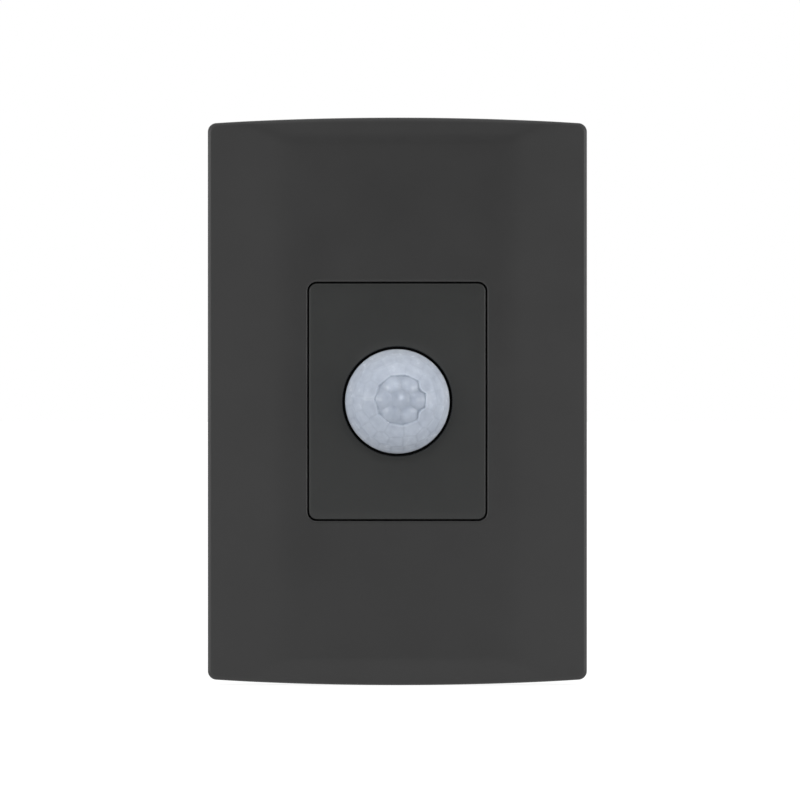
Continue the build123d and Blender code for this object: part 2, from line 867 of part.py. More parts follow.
# Relay case
relay_top_level = power_board_level + relay_height
relay_base_level = power_board_level + relay_base_height
relay_inner_width = relay_width - 2 * relay_wall
relay_inner_length = relay_length - 2 * relay_wall
with BuildPart() as relay_base:
    with BuildSketch(front_plane(power_board_level)):
        with Locations((relay_x, relay_z)):
            Rectangle(relay_width, relay_length)
    extrude(amount=relay_wall)
    with BuildSketch(front_plane(power_board_level)):
        with Locations((relay_x, relay_z)):
            Rectangle(relay_inner_width, relay_inner_length)
    extrude(amount=relay_base_height)
relay_base.part.label = "relay_base"
export_step(relay_base.part, "parts/relay_base.step")

with BuildPart() as relay_cover:
    with BuildSketch(front_plane(power_board_level + relay_wall)):
        with Locations((relay_x, relay_z)):
            Rectangle(relay_width, relay_length)
    extrude(amount=relay_height - relay_wall)
    chamfer(near_level(relay_cover.faces(), relay_top_level).edges(), length=relay_edge_chamfer)
    with BuildSketch(front_plane(power_board_level + relay_wall)):
        with Locations((relay_x, relay_z)):
            Rectangle(relay_inner_width, relay_inner_length)
    extrude(amount=relay_height - 2 * relay_wall, mode=Mode.SUBTRACT)
relay_cover.part.label = "relay_cover"
export_step(relay_cover.part, "parts/relay_cover.step")

with BuildPart() as relay_pins:
    with BuildSketch(front_plane(power_back_level - pin_reach)):
        with Locations(*relay_pin_places):
            Rectangle(pin_width, pin_width)
    extrude(amount=board_thickness + pin_reach)
relay_pins.part.label = "relay_pins"
export_step(relay_pins.part, "parts/relay_pins.step")

# Relay magnet: yoke, core with its pole, bobbin and winding
coil_z = relay_z + coil_offset
yoke_level = relay_base_level + yoke_thickness
pole_back_level = pole_level - pole_thickness
pivot_z = yoke_z + yoke_thickness / 2
pivot_level = pole_level + armature_gap
with BuildPart() as relay_yoke:
    with BuildSketch(front_plane(relay_base_level)):
        with Locations((relay_x, yoke_z)):
            Rectangle(yoke_width, coil_z - yoke_z + core_radius, align=(Align.CENTER, Align.MIN))
    extrude(amount=yoke_thickness)
    with BuildSketch(front_plane(relay_base_level)):
        with Locations((relay_x, yoke_z)):
            Rectangle(yoke_width, yoke_thickness, align=(Align.CENTER, Align.MIN))
    extrude(amount=pole_level - relay_base_level)
    # round ridge that the armature tips on
    with BuildSketch(Plane.YZ.offset(relay_x)):
        with Locations((-pivot_level, pivot_z)):
            Circle(pivot_radius)
    extrude(amount=yoke_width / 2, both=True)
relay_yoke.part.label = "relay_yoke"
export_step(relay_yoke.part, "parts/relay_yoke.step")

with BuildPart() as relay_core:
    with BuildSketch(front_plane(yoke_level)):
        with Locations((relay_x, coil_z)):
            Circle(core_radius)
    extrude(amount=pole_back_level - yoke_level)
    with BuildSketch(front_plane(pole_back_level)):
        with Locations((relay_x, coil_z)):
            Circle(pole_radius)
    extrude(amount=pole_thickness)
relay_core.part.label = "relay_core"
export_step(relay_core.part, "parts/relay_core.step")

with BuildPart() as relay_bobbin:
    for flange_back_level in (yoke_level, pole_back_level - bobbin_flange):
        with BuildSketch(front_plane(flange_back_level)):
            with Locations((relay_x, coil_z)):
                Rectangle(bobbin_width, bobbin_width)
        extrude(amount=bobbin_flange)
    with BuildSketch(front_plane(yoke_level)):
        with Locations((relay_x, coil_z)):
            Rectangle(bobbin_tube_width, bobbin_tube_width)
    extrude(amount=pole_back_level - yoke_level)
    with BuildSketch(front_plane(yoke_level)):
        with Locations((relay_x, coil_z)):
            Circle(core_radius + core_play)
    extrude(amount=pole_back_level - yoke_level, mode=Mode.SUBTRACT)
relay_bobbin.part.label = "relay_bobbin"
export_step(relay_bobbin.part, "parts/relay_bobbin.step")

with BuildPart() as relay_winding:
    with BuildSketch(front_plane(yoke_level + bobbin_flange)):
        with Locations((relay_x, coil_z)):
            Circle(coil_radius)
            Rectangle(bobbin_tube_width, bobbin_tube_width, mode=Mode.SUBTRACT)
    extrude(amount=pole_back_level - yoke_level - 2 * bobbin_flange)
relay_winding.part.label = "relay_winding"
export_step(relay_winding.part, "parts/relay_winding.step")

# Relay armature: it tips on the ridge of the yoke and stands open at rest
tilt = radians(armature_angle)
armature_plane = Plane(
    origin=(relay_x, -pivot_level, pivot_z),
    x_dir=(0, -sin(tilt), cos(tilt)),
    z_dir=(1, 0, 0),
)
with BuildPart() as relay_armature:
    with BuildSketch(armature_plane):
        with Locations((-yoke_thickness / 2, 0)):
            Rectangle(armature_length, armature_thickness, align=Align.MIN)
    extrude(amount=armature_width / 2, both=True)
    with BuildSketch(armature_plane):
        Circle(pivot_radius + pivot_play)
    extrude(amount=armature_width, both=True, mode=Mode.SUBTRACT)
relay_armature.part.label = "relay_armature"
export_step(relay_armature.part, "parts/relay_armature.step")

with BuildPart() as contact_strip:
    with BuildSketch(armature_plane):
        with Locations((strip_start, armature_thickness)):
            Rectangle(strip_end - strip_start, strip_thickness, align=Align.MIN)
    extrude(amount=strip_width / 2, both=True)
contact_strip.part.label = "contact_strip"
export_step(contact_strip.part, "parts/contact_strip.step")

contact_plane = Plane(
    origin=armature_plane.from_local_coords((contact_reach, armature_thickness, 0)),
    x_dir=(1, 0, 0),
    z_dir=armature_plane.y_dir * -1,
)
with BuildPart() as moving_contact:
    with BuildSketch(contact_plane):
        Circle(contact_radius)
    extrude(amount=contact_height)
moving_contact.part.label = "moving_contact"
export_step(moving_contact.part, "parts/moving_contact.step")

# Fixed contact on its post
shelf_level = pivot_level + armature_thickness - 2 * contact_height - contact_gap
with BuildPart() as fixed_contact:
    with BuildSketch(front_plane(relay_base_level)):
        with Locations((relay_x, contact_post_z)):
            Rectangle(contact_post_width, contact_post_thickness)
    extrude(amount=shelf_level - relay_base_level)
    with BuildSketch(front_plane(shelf_level - contact_post_thickness)):
        with Locations((relay_x, contact_post_z + contact_post_thickness / 2)):
            Rectangle(contact_post_width, contact_shelf_length, align=(Align.CENTER, Align.MAX))
    extrude(amount=contact_post_thickness)
    with BuildSketch(front_plane(shelf_level)):
        with Locations((relay_x, pivot_z + contact_reach)):
            Circle(contact_radius)
    extrude(amount=contact_height)
fixed_contact.part.label = "fixed_contact"
export_step(fixed_contact.part, "parts/fixed_contact.step")

# Dials for time and brightness, set from the back with a small screwdriver
dial_end_level = housing_back_level + dial_shaft_recess
dial_root_level = power_back_level - dial_body_depth + dial_bore_depth


def dial_body(x):
    """Square body of a dial behind the power board, with the bore its shaft turns in."""
    with BuildPart() as body:
        with BuildSketch(front_plane(power_back_level - dial_body_depth)):
            with Locations((x, dial_z)):
                Rectangle(dial_body_width, dial_body_width)
        extrude(amount=dial_body_depth)
        with BuildSketch(front_plane(power_back_level - dial_body_depth)):
            with Locations((x, dial_z)):
                Circle(dial_shaft_radius + dial_play)
        extrude(amount=dial_bore_depth, mode=Mode.SUBTRACT)
    return body.part


def dial_shaft(x):
    """Plastic shaft of a dial with the screwdriver slot in its end."""
    with BuildPart() as shaft:
        with BuildSketch(front_plane(dial_end_level)):
            with Locations((x, dial_z)):
                Circle(dial_shaft_radius)
        extrude(amount=dial_root_level - dial_play - dial_end_level)
        with BuildSketch(front_plane(dial_end_level)):
            with Locations((x, dial_z)):
                Rectangle(2 * dial_shaft_radius + overrun, dial_slot_width)
        extrude(amount=dial_slot_depth, mode=Mode.SUBTRACT)
    return shaft.part


with BuildPart() as time_dial_body:
    add(dial_body(-dial_x))
time_dial_body.part.label = "time_dial_body"
export_step(time_dial_body.part, "parts/time_dial_body.step")

with BuildPart() as time_dial:
    add(dial_shaft(-dial_x))
time_dial.part.label = "time_dial"
export_step(time_dial.part, "parts/time_dial.step")

with BuildPart() as light_dial_body:
    add(dial_body(dial_x))
light_dial_body.part.label = "light_dial_body"
export_step(light_dial_body.part, "parts/light_dial_body.step")

with BuildPart() as light_dial:
    add(dial_shaft(dial_x))
light_dial.part.label = "light_dial"
export_step(light_dial.part, "parts/light_dial.step")

# Terminal block
block_middle_z = (block_low_z + block_high_z) / 2
with BuildPart() as terminal_block:
    with BuildSketch(front_plane(block_back_level)):
        with Locations((0, block_middle_z)):
            Rectangle(block_width, block_high_z - block_low_z)
    extrude(amount=power_back_level - block_back_level)
    # pocket of each clamp, open to the back
    with BuildSketch(front_plane(block_back_level - overrun)):
        with Locations(*[(x, pole_z) for x in pole_xs]):
            Rectangle(pocket_width, pocket_length)
    extrude(amount=pocket_level - block_back_level + overrun, mode=Mode.SUBTRACT)
    # seat of each bar and the way its tail takes to the board
    with BuildSketch(front_plane(block_back_level - overrun)):
        with Locations(*[(x, pole_z) for x in pole_xs]):
            Rectangle(
                bar_width + 2 * bar_play,
                bar_high_z - pole_z + bar_play,
                align=(Align.CENTER, Align.MIN),
            )
    extrude(amount=bar_level - block_back_level + overrun, mode=Mode.SUBTRACT)
    with BuildSketch(front_plane(bar_level - overrun)):
        with Locations(*[(x, tail_z) for x in pole_xs]):
            Rectangle(tail_width + 2 * bar_play, tail_thickness + 2 * bar_play)
    extrude(amount=power_back_level - bar_level + 2 * overrun, mode=Mode.SUBTRACT)
    # ways in for the wires
    with BuildSketch(Plane.XY.offset(block_low_z - overrun)):
        with Locations(*[(x, -wire_level) for x in pole_xs]):
            Rectangle(wire_hole_width, wire_hole_width)
    extrude(amount=pole_z - pocket_length / 2 - block_low_z + overrun + bar_play, mode=Mode.SUBTRACT)
terminal_block.part.label = "terminal_block"
export_step(terminal_block.part, "parts/terminal_block.step")


def terminal_bar(x):
    """Bar that the wire is pressed against, with its tail bent into the power board."""
    with BuildPart() as bar:
        with BuildSketch(front_plane(bar_level - bar_thickness)):
            with Locations((x, bar_low_z)):
                Rectangle(bar_width, bar_high_z - bar_low_z, align=(Align.CENTER, Align.MIN))
        extrude(amount=bar_thickness)
        with BuildSketch(front_plane(bar_level - bar_thickness / 2)):
            with Locations((x, tail_z)):
                Rectangle(tail_width, tail_thickness)
        extrude(amount=power_board_level + tail_reach - bar_level + bar_thickness / 2)
    return bar.part


def wire_clamp(x):
    """Clamp, a ring round the bar that rises towards the screw's head and takes the wire with it."""
    cheek_level = bar_level - bar_thickness - clamp_gap
    foot_level = bar_level + wire_space
    with BuildPart() as ring:
        with BuildSketch(front_plane(cheek_level - clamp_cheek)):
            with Locations((x, pole_z)):
                Rectangle(clamp_width, clamp_length)
        extrude(amount=foot_level + clamp_foot - cheek_level + clamp_cheek)
        with BuildSketch(front_plane(cheek_level)):
            with Locations((x, pole_z)):
                Rectangle(clamp_inner_width, clamp_length + 2 * overrun)
        extrude(amount=foot_level - cheek_level, mode=Mode.SUBTRACT)
        with BuildSketch(front_plane(cheek_level - clamp_cheek - overrun)):
            with Locations((x, pole_z)):
                Circle(thread_radius + thread_play)
        extrude(amount=clamp_cheek + 2 * overrun, mode=Mode.SUBTRACT)
    return ring.part


def terminal_screw(x):
    """Slotted screw whose tip turns on the bar."""
    tip_level = bar_level - bar_thickness - thread_tip_gap
    with BuildPart() as screw:
        with BuildSketch(front_plane(terminal_head_level)):
            with Locations((x, pole_z)):
                Circle(terminal_head_radius)
        extrude(amount=terminal_head)
        with BuildSketch(front_plane(terminal_head_level)):
            with Locations((x, pole_z)):
                Circle(thread_radius)
        extrude(amount=tip_level - terminal_head_level)
        with BuildSketch(front_plane(terminal_head_level)):
            with Locations((x, pole_z)):
                Rectangle(2 * terminal_head_radius + overrun, terminal_slot_width)
        extrude(amount=terminal_slot_depth, mode=Mode.SUBTRACT)
    return screw.part


for number, x in enumerate(pole_xs, start=1):
    for name, piece in (
        ("terminal_bar", terminal_bar(x)),
        ("wire_clamp", wire_clamp(x)),
        ("terminal_screw", terminal_screw(x)),
    ):
        piece.label = f"{name}_{number}"
        export_step(piece, f"parts/{name}_{number}.step")
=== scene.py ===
"""Studio scene of a motion sensor light switch: its outer shells, its lens, and a finish for every piece.

Shapes are worked out in millimetres and put into the meshes in metres. +Z is up, +X is to the right
as seen from the room, and a level is a distance in front of the wall, so a point at a level has
y = -level. Angles are given in degrees where nothing else is said.
"""

import json
import logging
from dataclasses import dataclass
from enum import Enum

import bmesh
import bpy
import numpy as np
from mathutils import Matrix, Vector


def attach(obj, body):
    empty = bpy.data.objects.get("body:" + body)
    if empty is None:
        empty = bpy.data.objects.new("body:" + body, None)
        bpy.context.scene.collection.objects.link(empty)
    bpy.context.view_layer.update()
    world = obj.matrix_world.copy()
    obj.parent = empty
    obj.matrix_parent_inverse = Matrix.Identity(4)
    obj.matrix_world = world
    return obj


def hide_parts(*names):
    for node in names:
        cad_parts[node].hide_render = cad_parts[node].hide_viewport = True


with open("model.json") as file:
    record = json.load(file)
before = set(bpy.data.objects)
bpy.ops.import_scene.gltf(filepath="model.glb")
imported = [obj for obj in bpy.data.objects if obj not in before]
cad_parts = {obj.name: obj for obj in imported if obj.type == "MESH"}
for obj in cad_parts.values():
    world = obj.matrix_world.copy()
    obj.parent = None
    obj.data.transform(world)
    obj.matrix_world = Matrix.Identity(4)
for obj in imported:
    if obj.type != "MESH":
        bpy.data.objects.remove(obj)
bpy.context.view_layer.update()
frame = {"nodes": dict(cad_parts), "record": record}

MM = 0.001
log = logging.getLogger("switch")

Array = np.ndarray
Pair = tuple[float, float]
Colour = tuple[float, float, float]
Socket = bpy.types.NodeSocket


class Body(Enum):
    """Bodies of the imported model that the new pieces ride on."""

    BASE = "base"
    PLATE = "plate"


class Ends(Enum):
    """How a stack of rings is closed: capped at both ends, or joined end to end round a hole."""

    CAPPED = "capped"
    JOINED = "joined"


# Outlines


def stations(side_marks: Array, end_marks: Array, corner_steps: int) -> Array:
    """Places round a rounded rectangle, anticlockwise as seen from the room.

    Each place holds four shares (ux, uz, cx, cz). On a rectangle with half sizes a and b and corner
    radius r it lies at x = ux (a - r) + cx r and z = uz (b - r) + cz r.

    Args:
        side_marks: Rising places along the upright sides, from -1 to 1.
        end_marks: Rising places along the level sides, from -1 to 1.
        corner_steps: Steps of each quarter circle.

    Returns:
        An array of one row of four shares for each place.
    """
    turn = np.linspace(0, np.pi / 2, corner_steps + 1)[1:-1]
    side_one, end_one, turn_one = np.ones_like(side_marks), np.ones_like(end_marks), np.ones_like(turn)
    side_nil, end_nil = np.zeros_like(side_marks), np.zeros_like(end_marks)
    parts = [
        (side_one, side_marks, side_one, side_nil),
        (turn_one, turn_one, np.cos(turn), np.sin(turn)),
        (end_marks[::-1], end_one, end_nil, end_one),
        (-turn_one, turn_one, -np.sin(turn), np.cos(turn)),
        (-side_one, side_marks[::-1], -side_one, side_nil),
        (-turn_one, -turn_one, -np.cos(turn), -np.sin(turn)),
        (end_marks, -end_one, end_nil, -end_one),
        (turn_one, -turn_one, np.sin(turn), -np.cos(turn)),
    ]
    return np.concatenate([np.stack(part, axis=1) for part in parts])


def even_marks(count: int, *steps: float) -> Array:
    """Rising marks from -1 to 1, with a close pair of marks wherever a sharp step is wanted.

    Args:
        count: Number of even intervals.
        *steps: Places of the steps, each used on both sides of the middle.

    Returns:
        The sorted marks.
    """
    hair = 0.0006
    pairs = [side * step + shift for step in steps for side in (-1, 1) for shift in (-hair, hair)]
    even = np.linspace(-1, 1, count + 1)
    if pairs:
        nearest = np.abs(even[:, None] - np.array(pairs)[None, :]).min(axis=1)
        even = even[(nearest > 3 * hair) | (np.abs(even) == 1)]
    return np.unique(np.concatenate([even, pairs]))


def between_steps(places: Array, steps: list[float]) -> Array:
    """Which places lie on an upright side between two steps, above or below the middle.

    Args:
        places: Rows of shares as stations gives them.
        steps: The lower and the upper step, as marks.

    Returns:
        True for each place that lies there.
    """
    near = np.abs(np.abs(places[:, 1]) - np.mean(steps)) < (steps[1] - steps[0]) / 2
    return near & (np.abs(places[:, 2]) == 1)


def rounded(
    places: Array,
    half_width: float,
    half_height: float,
    radius: float,
    arch: float = 0.0,
) -> Array:
    """Rounded rectangle whose level sides rise towards their middle.

    Formula: the point of each place, with z shortened in proportion to arch times the square of
    x over the half width, so that the middle of each end keeps the full height.

    Args:
        places: Rows of shares as stations gives them.
        half_width: Half of the width in mm.
        half_height: Half of the height in mm.
        radius: Corner radius in mm.
        arch: Drop of the corners below the middle of each end in mm.

    Returns:
        Points as rows of x and z in mm.
    """
    x = places[:, 0] * (half_width - radius) + places[:, 2] * radius
    z = places[:, 1] * (half_height - radius) + places[:, 3] * radius
    z = z * (1 - arch * (x / half_width) ** 2 / half_height)
    return np.stack([x, z], axis=1)


def at_level(points: Array, level: Array | float) -> Array:
    """Points of an outline put at a level in front of the wall, as rows of x, y and z."""
    y = np.broadcast_to(-np.asarray(level, dtype=float), points.shape[:1])
    return np.stack([points[:, 0], y, points[:, 1]], axis=1)


def quarter(steps: int) -> list[Pair]:
    """Cosine and sine of each even step of a quarter turn, for the points of a rounding."""
    turn = np.linspace(0, np.pi / 2, steps + 1)
    return list(zip(np.cos(turn), np.sin(turn)))


def round_turn(count: int) -> Array:
    """Even angles of a full turn in radians, without the last one, which is the first again."""
    return np.linspace(0, 2 * np.pi, count + 1)[:-1]


def ramp(value: Array, start: float, end: float) -> Array:
    """Share from 0 at the start to 1 at the end, level beyond both."""
    return np.clip((value - start) / (end - start), 0, 1)


def swell(value: Array, middle: float, width: float) -> Array:
    """Bell curve that is 1 at its middle: e to the minus square of the distance over the width."""
    return np.exp(-(((value - middle) / width) ** 2))


# Meshes


CREASE = 38.0


def mesh_object(name: str, points: Array, faces: list[Array], crease: float = CREASE) -> bpy.types.Object:
    """Object whose mesh holds the points and the faces.

    Args:
        name: Name of the object and its mesh.
        points: Rows of x, y and z in mm.
        faces: Arrays of corner numbers, one row for each face.
        crease: Angle in degrees above which an edge stays sharp.

    Returns:
        The new object, linked to the scene.
    """
    mesh = bpy.data.meshes.new(name)
    mesh.from_pydata((points * MM).tolist(), [], [row for group in faces for row in group.tolist()])
    mesh.shade_smooth()
    mesh.set_sharp_from_angle(angle=np.radians(crease))
    piece = bpy.data.objects.new(name, mesh)
    bpy.context.scene.collection.objects.link(piece)
    return piece


@dataclass
class Shell:
    """Closed surface as bare points and faces, which several shells of one moulding can share."""

    points: Array
    faces: list[Array]

    @classmethod
    def from_rings(cls, rings: list[Array], ends: Ends) -> "Shell":
        """Closed surface from a stack of rings with the same number of points.

        Quads join each ring to the next. A capped stack ends in a fan to the middle of its first
        and last ring, and a joined stack goes back from the last ring to the first. The faces are
        turned outwards by the sign of the volume that they enclose.

        Args:
            rings: Arrays of points in mm, one row of x, y and z for each point.
            ends: Whether the stack is capped or joined.

        Returns:
            The closed surface.
        """
        stack = np.stack(rings)
        count, around = stack.shape[:2]
        index = np.arange(count * around).reshape(count, around)
        lower, upper = (index, np.roll(index, -1, 0)) if ends is Ends.JOINED else (index[:-1], index[1:])
        quads = np.stack([lower, np.roll(lower, -1, 1), np.roll(upper, -1, 1), upper], axis=-1)
        points = stack.reshape(-1, 3)
        faces = [quads.reshape(-1, 4)]
        if ends is Ends.CAPPED:
            first = len(points)
            points = np.concatenate([points, stack[:1].mean(axis=1), stack[-1:].mean(axis=1)])
            faces.append(np.stack([np.full(around, first), np.roll(index[0], -1), index[0]], axis=-1))
            faces.append(np.stack([np.full(around, first + 1), index[-1], np.roll(index[-1], -1)], axis=-1))
        volume = 0.0
        for group in faces:
            corners = [points[group[:, k]] for k in range(group.shape[1])]
            for k in range(1, group.shape[1] - 1):
                volume += (corners[0] * np.cross(corners[k], corners[k + 1])).sum()
        if volume < 0:
            faces = [group[:, ::-1] for group in faces]
        return cls(points, faces)

    def piece(self, name: str, crease: float = CREASE) -> bpy.types.Object:
        """Object with this surface alone."""
        return mesh_object(name, self.points, self.faces, crease)


def moulding(name: str, shells: list[Shell]) -> bpy.types.Object:
    """One object from several closed surfaces that belong to the same moulding.

    Args:
        name: Name of the piece.
        shells: The closed surfaces.

    Returns:
        The new object.
    """
    starts = np.cumsum([0] + [len(part.points) for part in shells])
    faces = [group + start for part, start in zip(shells, starts) for group in part.faces]
    return mesh_object(name, np.concatenate([part.points for part in shells]), faces)


BLOCK_PLACES = stations(even_marks(1), even_marks(1), 4)
BLOCK_LEAST_CORNER = 0.03
BLOCK_EDGE_STEPS = 3


def block(centre: Pair, size: Pair, levels: Pair, corner: float = 0.25, edge: float = 0.15) -> Shell:
    """Block with rounded edges that stands along Y.

    Formula: a rounded rectangle, drawn in by edge times (1 - sine) while its level nears each end
    by edge times (1 - cosine).

    Args:
        centre: x and z of its middle in mm.
        size: Width and height in mm.
        levels: Its lower and upper level in mm.
        corner: Radius of the upright edges in mm.
        edge: Rounding of the end edges in mm.

    Returns:
        The closed surface.
    """
    low, high = levels
    steps = quarter(BLOCK_EDGE_STEPS)
    skins = [(edge * (1 - s), low + edge * (1 - c)) for c, s in steps]
    skins += [(edge * (1 - s), high - edge * (1 - c)) for c, s in steps[::-1]]
    rings = []
    for skin, level in skins:
        radius = max(corner - skin, BLOCK_LEAST_CORNER)
        outline = rounded(BLOCK_PLACES, size[0] / 2 - skin, size[1] / 2 - skin, radius)
        rings.append(at_level(outline + np.array(centre), level))
    return Shell.from_rings(rings, Ends.CAPPED)


# Finishes


def shaded(colour: Colour, factor: float) -> Colour:
    """Colour made darker or lighter by a factor."""
    return tuple(part * factor for part in colour)


class Wiring:
    """Adds nodes to a node tree, and sets or links their inputs."""

    def __init__(self, tree: bpy.types.NodeTree) -> None:
        """Takes the tree that gets the nodes."""
        self.tree = tree

    def node(self, kind: str, **settings: object) -> bpy.types.Node:
        """New node of a kind with its settings.

        Args:
            kind: Blender's name of the shader node, without the words that all such names start with.
            **settings: Attributes of the node, such as its blend type.

        Returns:
            The node.
        """
        made = self.tree.nodes.new(f"ShaderNode{kind}")
        for key, value in settings.items():
            setattr(made, key, value)
        return made

    def put(self, socket: Socket, value: object) -> None:
        """Links an input to an output socket, or sets it to a number, a vector or a colour."""
        if isinstance(value, Socket):
            self.tree.links.new(value, socket)
        else:
            socket.default_value = (*value, 1.0) if socket.type == "RGBA" else value

    def feed(self, node: bpy.types.Node, **inputs: object) -> bpy.types.Node:
        """Sets or links inputs of a node by name, with underscores for spaces.

        Args:
            node: The node.
            **inputs: A number, a vector, a colour or an output socket for each input.

        Returns:
            The same node.
        """
        for key, value in inputs.items():
            self.put(node.inputs[key.replace("_", " ")], value)
        return node

    def maths(self, operation: str, first: object, second: object) -> Socket:
        """Result of an operation on two values."""
        made = self.node("Math", operation=operation)
        self.put(made.inputs[0], first)
        self.put(made.inputs[1], second)
        return made.outputs[0]

    def span(
        self,
        value: Socket,
        low: float,
        high: float,
        start: float = 0.0,
        end: float = 1.0,
        curve: str = "LINEAR",
    ) -> Socket:
        """Value carried from one range to another.

        Args:
            value: The value.
            low: Result at the start.
            high: Result at the end.
            start: Value at which the range starts.
            end: Value at which the range ends.
            curve: Blender's name of the curve between them.

        Returns:
            The socket with the result.
        """
        made = self.node("MapRange", interpolation_type=curve)
        self.feed(made, Value=value, From_Min=start, From_Max=end, To_Min=low, To_Max=high)
        return made.outputs["Result"]

    def blend(self, share: object, first: object, second: object, way: str = "MIX") -> Socket:
        """Colour between two, by a share.

        Args:
            share: Share of the second colour.
            first: The first colour, or its socket.
            second: The second colour, or its socket.
            way: Blender's name of the way they are blended.

        Returns:
            The socket with the colour.
        """
        made = self.node("Mix", data_type="RGBA", blend_type=way)
        # Its share is input 0, its colours are inputs 6 and 7, and the mixed colour is output 2.
        for place, value in ((0, share), (6, first), (7, second)):
            self.put(made.inputs[place], value)
        return made.outputs[2]


class GroupWiring(Wiring):
    """Writes the nodes of a group, between its inputs and its outputs."""

    def __init__(self, name: str, inputs: dict[str, float], outputs: list[str]) -> None:
        """Starts an empty group with a vector input, value inputs and value outputs.

        Args:
            name: Name of the group.
            inputs: Name and default of each value input.
            outputs: Names of the value outputs.
        """
        super().__init__(bpy.data.node_groups.new(name, "ShaderNodeTree"))
        sockets = self.tree.interface
        sockets.new_socket("Vector", in_out="INPUT", socket_type="NodeSocketVector")
        for label, value in inputs.items():
            made = sockets.new_socket(label, in_out="INPUT", socket_type="NodeSocketFloat")
            made.default_value = value
        for label in outputs:
            sockets.new_socket(label, in_out="OUTPUT", socket_type="NodeSocketFloat")
        self.source = self.tree.nodes.new("NodeGroupInput").outputs
        self.sink = self.tree.nodes.new("NodeGroupOutput")


class Dress(Wiring):
    """Writes the nodes of one material, with its shader and the object's own coordinates."""

    def __init__(self, name: str) -> None:
        """Starts a node material with a Principled BSDF."""
        self.material = bpy.data.materials.new(name)
        self.material.use_nodes = True
        super().__init__(self.material.node_tree)
        self.shader = self.tree.nodes["Principled BSDF"]
        self.place = self.node("TexCoord").outputs["Object"]

    def relief(self, height: Socket, depth: float) -> Socket:
        """Normal bent by a height of the given depth in mm."""
        made = self.feed(self.node("Bump"), Height=height, Distance=depth * MM)
        return made.outputs["Normal"]

    def group(self, tree: bpy.types.NodeTree, **inputs: object) -> bpy.types.bpy_prop_collection:
        """Places a node group with its own values, and gives its outputs."""
        made = self.node("Group", node_tree=tree)
        return self.feed(made, Vector=self.place, **inputs).outputs

    def tint(self, pattern: Socket, colour: Colour, shade: float) -> Socket:
        """Colour darkened by a factor where a pattern is nil, and as it is where the pattern is 1."""
        return self.blend(pattern, shaded(colour, shade), colour)

    def rough(self, pattern: Socket, roughness: float, swing: Pair) -> Socket:
        """Roughness that changes with a pattern, by what is added to it at nil and at 1."""
        return self.span(pattern, roughness + swing[0], roughness + swing[1])

    def finished(self, **inputs: object) -> bpy.types.Material:
        """Feeds the shader, and gives the material."""
        self.feed(self.shader, **inputs)
        return self.material


@dataclass(frozen=True)
class EffectGroup:
    """Node group that more than one finish uses, made once and looked up by its name."""

    name: str

    def tree(self) -> bpy.types.NodeTree:
        """The group's node tree, written the first time that it is asked for."""
        found = bpy.data.node_groups.get(self.name)
        return found if found else self.write()

    def write(self) -> bpy.types.NodeTree:
        """Writes the group's nodes."""
        raise NotImplementedError


@dataclass(frozen=True)
class MouldGrain(EffectGroup):
    """Fine grain that a spark-eroded mould leaves, and the slow mottling of the plastic."""

    name: str = "mould_grain"
    grains_per_metre: float = 4000.0
    mottle_width: float = 60.0

    def write(self) -> bpy.types.NodeTree:
        """Noise at the grain's size, and noise that is wider by the mottling's width."""
        group = GroupWiring(self.name, {"Grains per metre": self.grains_per_metre}, ["Grain", "Mottle"])
        place, grains = group.source["Vector"], group.source["Grains per metre"]
        fine = group.feed(group.node("TexNoise"), Vector=place, Scale=grains, Detail=2.0, Roughness=0.6)
        patches = group.maths("DIVIDE", grains, self.mottle_width)
        slow = group.feed(group.node("TexNoise"), Vector=place, Scale=patches, Detail=3.0)
        group.feed(group.sink, Grain=fine.outputs["Fac"], Mottle=slow.outputs["Fac"])
        return group.tree


@dataclass(frozen=True)
class BrushMarks(EffectGroup):
    """Drawn lines of rolled or turned metal, long along one axis, and slow stains."""

    name: str = "brush_marks"
    lines_per_metre: float = 9000.0
    along: float = 0.03
    stains_per_metre: float = 300.0

    def write(self) -> bpy.types.NodeTree:
        """Noise squeezed across the lines and stretched along them, and slow noise."""
        inputs = {"Lines per metre": self.lines_per_metre, "Along": self.along}
        group = GroupWiring(self.name, inputs, ["Lines", "Stains"])
        place, count = group.source["Vector"], group.source["Lines per metre"]
        stretch = group.feed(group.node("CombineXYZ"), X=1.0, Y=1.0, Z=group.source["Along"])
        scaled = group.node("VectorMath", operation="MULTIPLY")
        group.put(scaled.inputs[0], place)
        group.put(scaled.inputs[1], stretch.outputs["Vector"])
        drawn = scaled.outputs["Vector"]
        lines = group.feed(group.node("TexNoise"), Vector=drawn, Scale=count, Detail=1.0)
        stains = group.feed(group.node("TexNoise"), Vector=place, Scale=self.stains_per_metre)
        group.feed(group.sink, Lines=lines.outputs["Fac"], Stains=stains.outputs["Fac"])
        return group.tree


@dataclass(frozen=True)
class Finish:
    """What every finish has: a name, and a way to write its material."""

    name: str

    def material(self) -> bpy.types.Material:
        """The finish's material, written the first time that it is asked for."""
        found = bpy.data.materials.get(self.label)
        return found if found else self.write()

    @property
    def label(self) -> str:
        """Name of the material."""
        return f"{self.name}_finish"

    def write(self) -> bpy.types.Material:
        """Writes the finish's nodes."""
        raise NotImplementedError


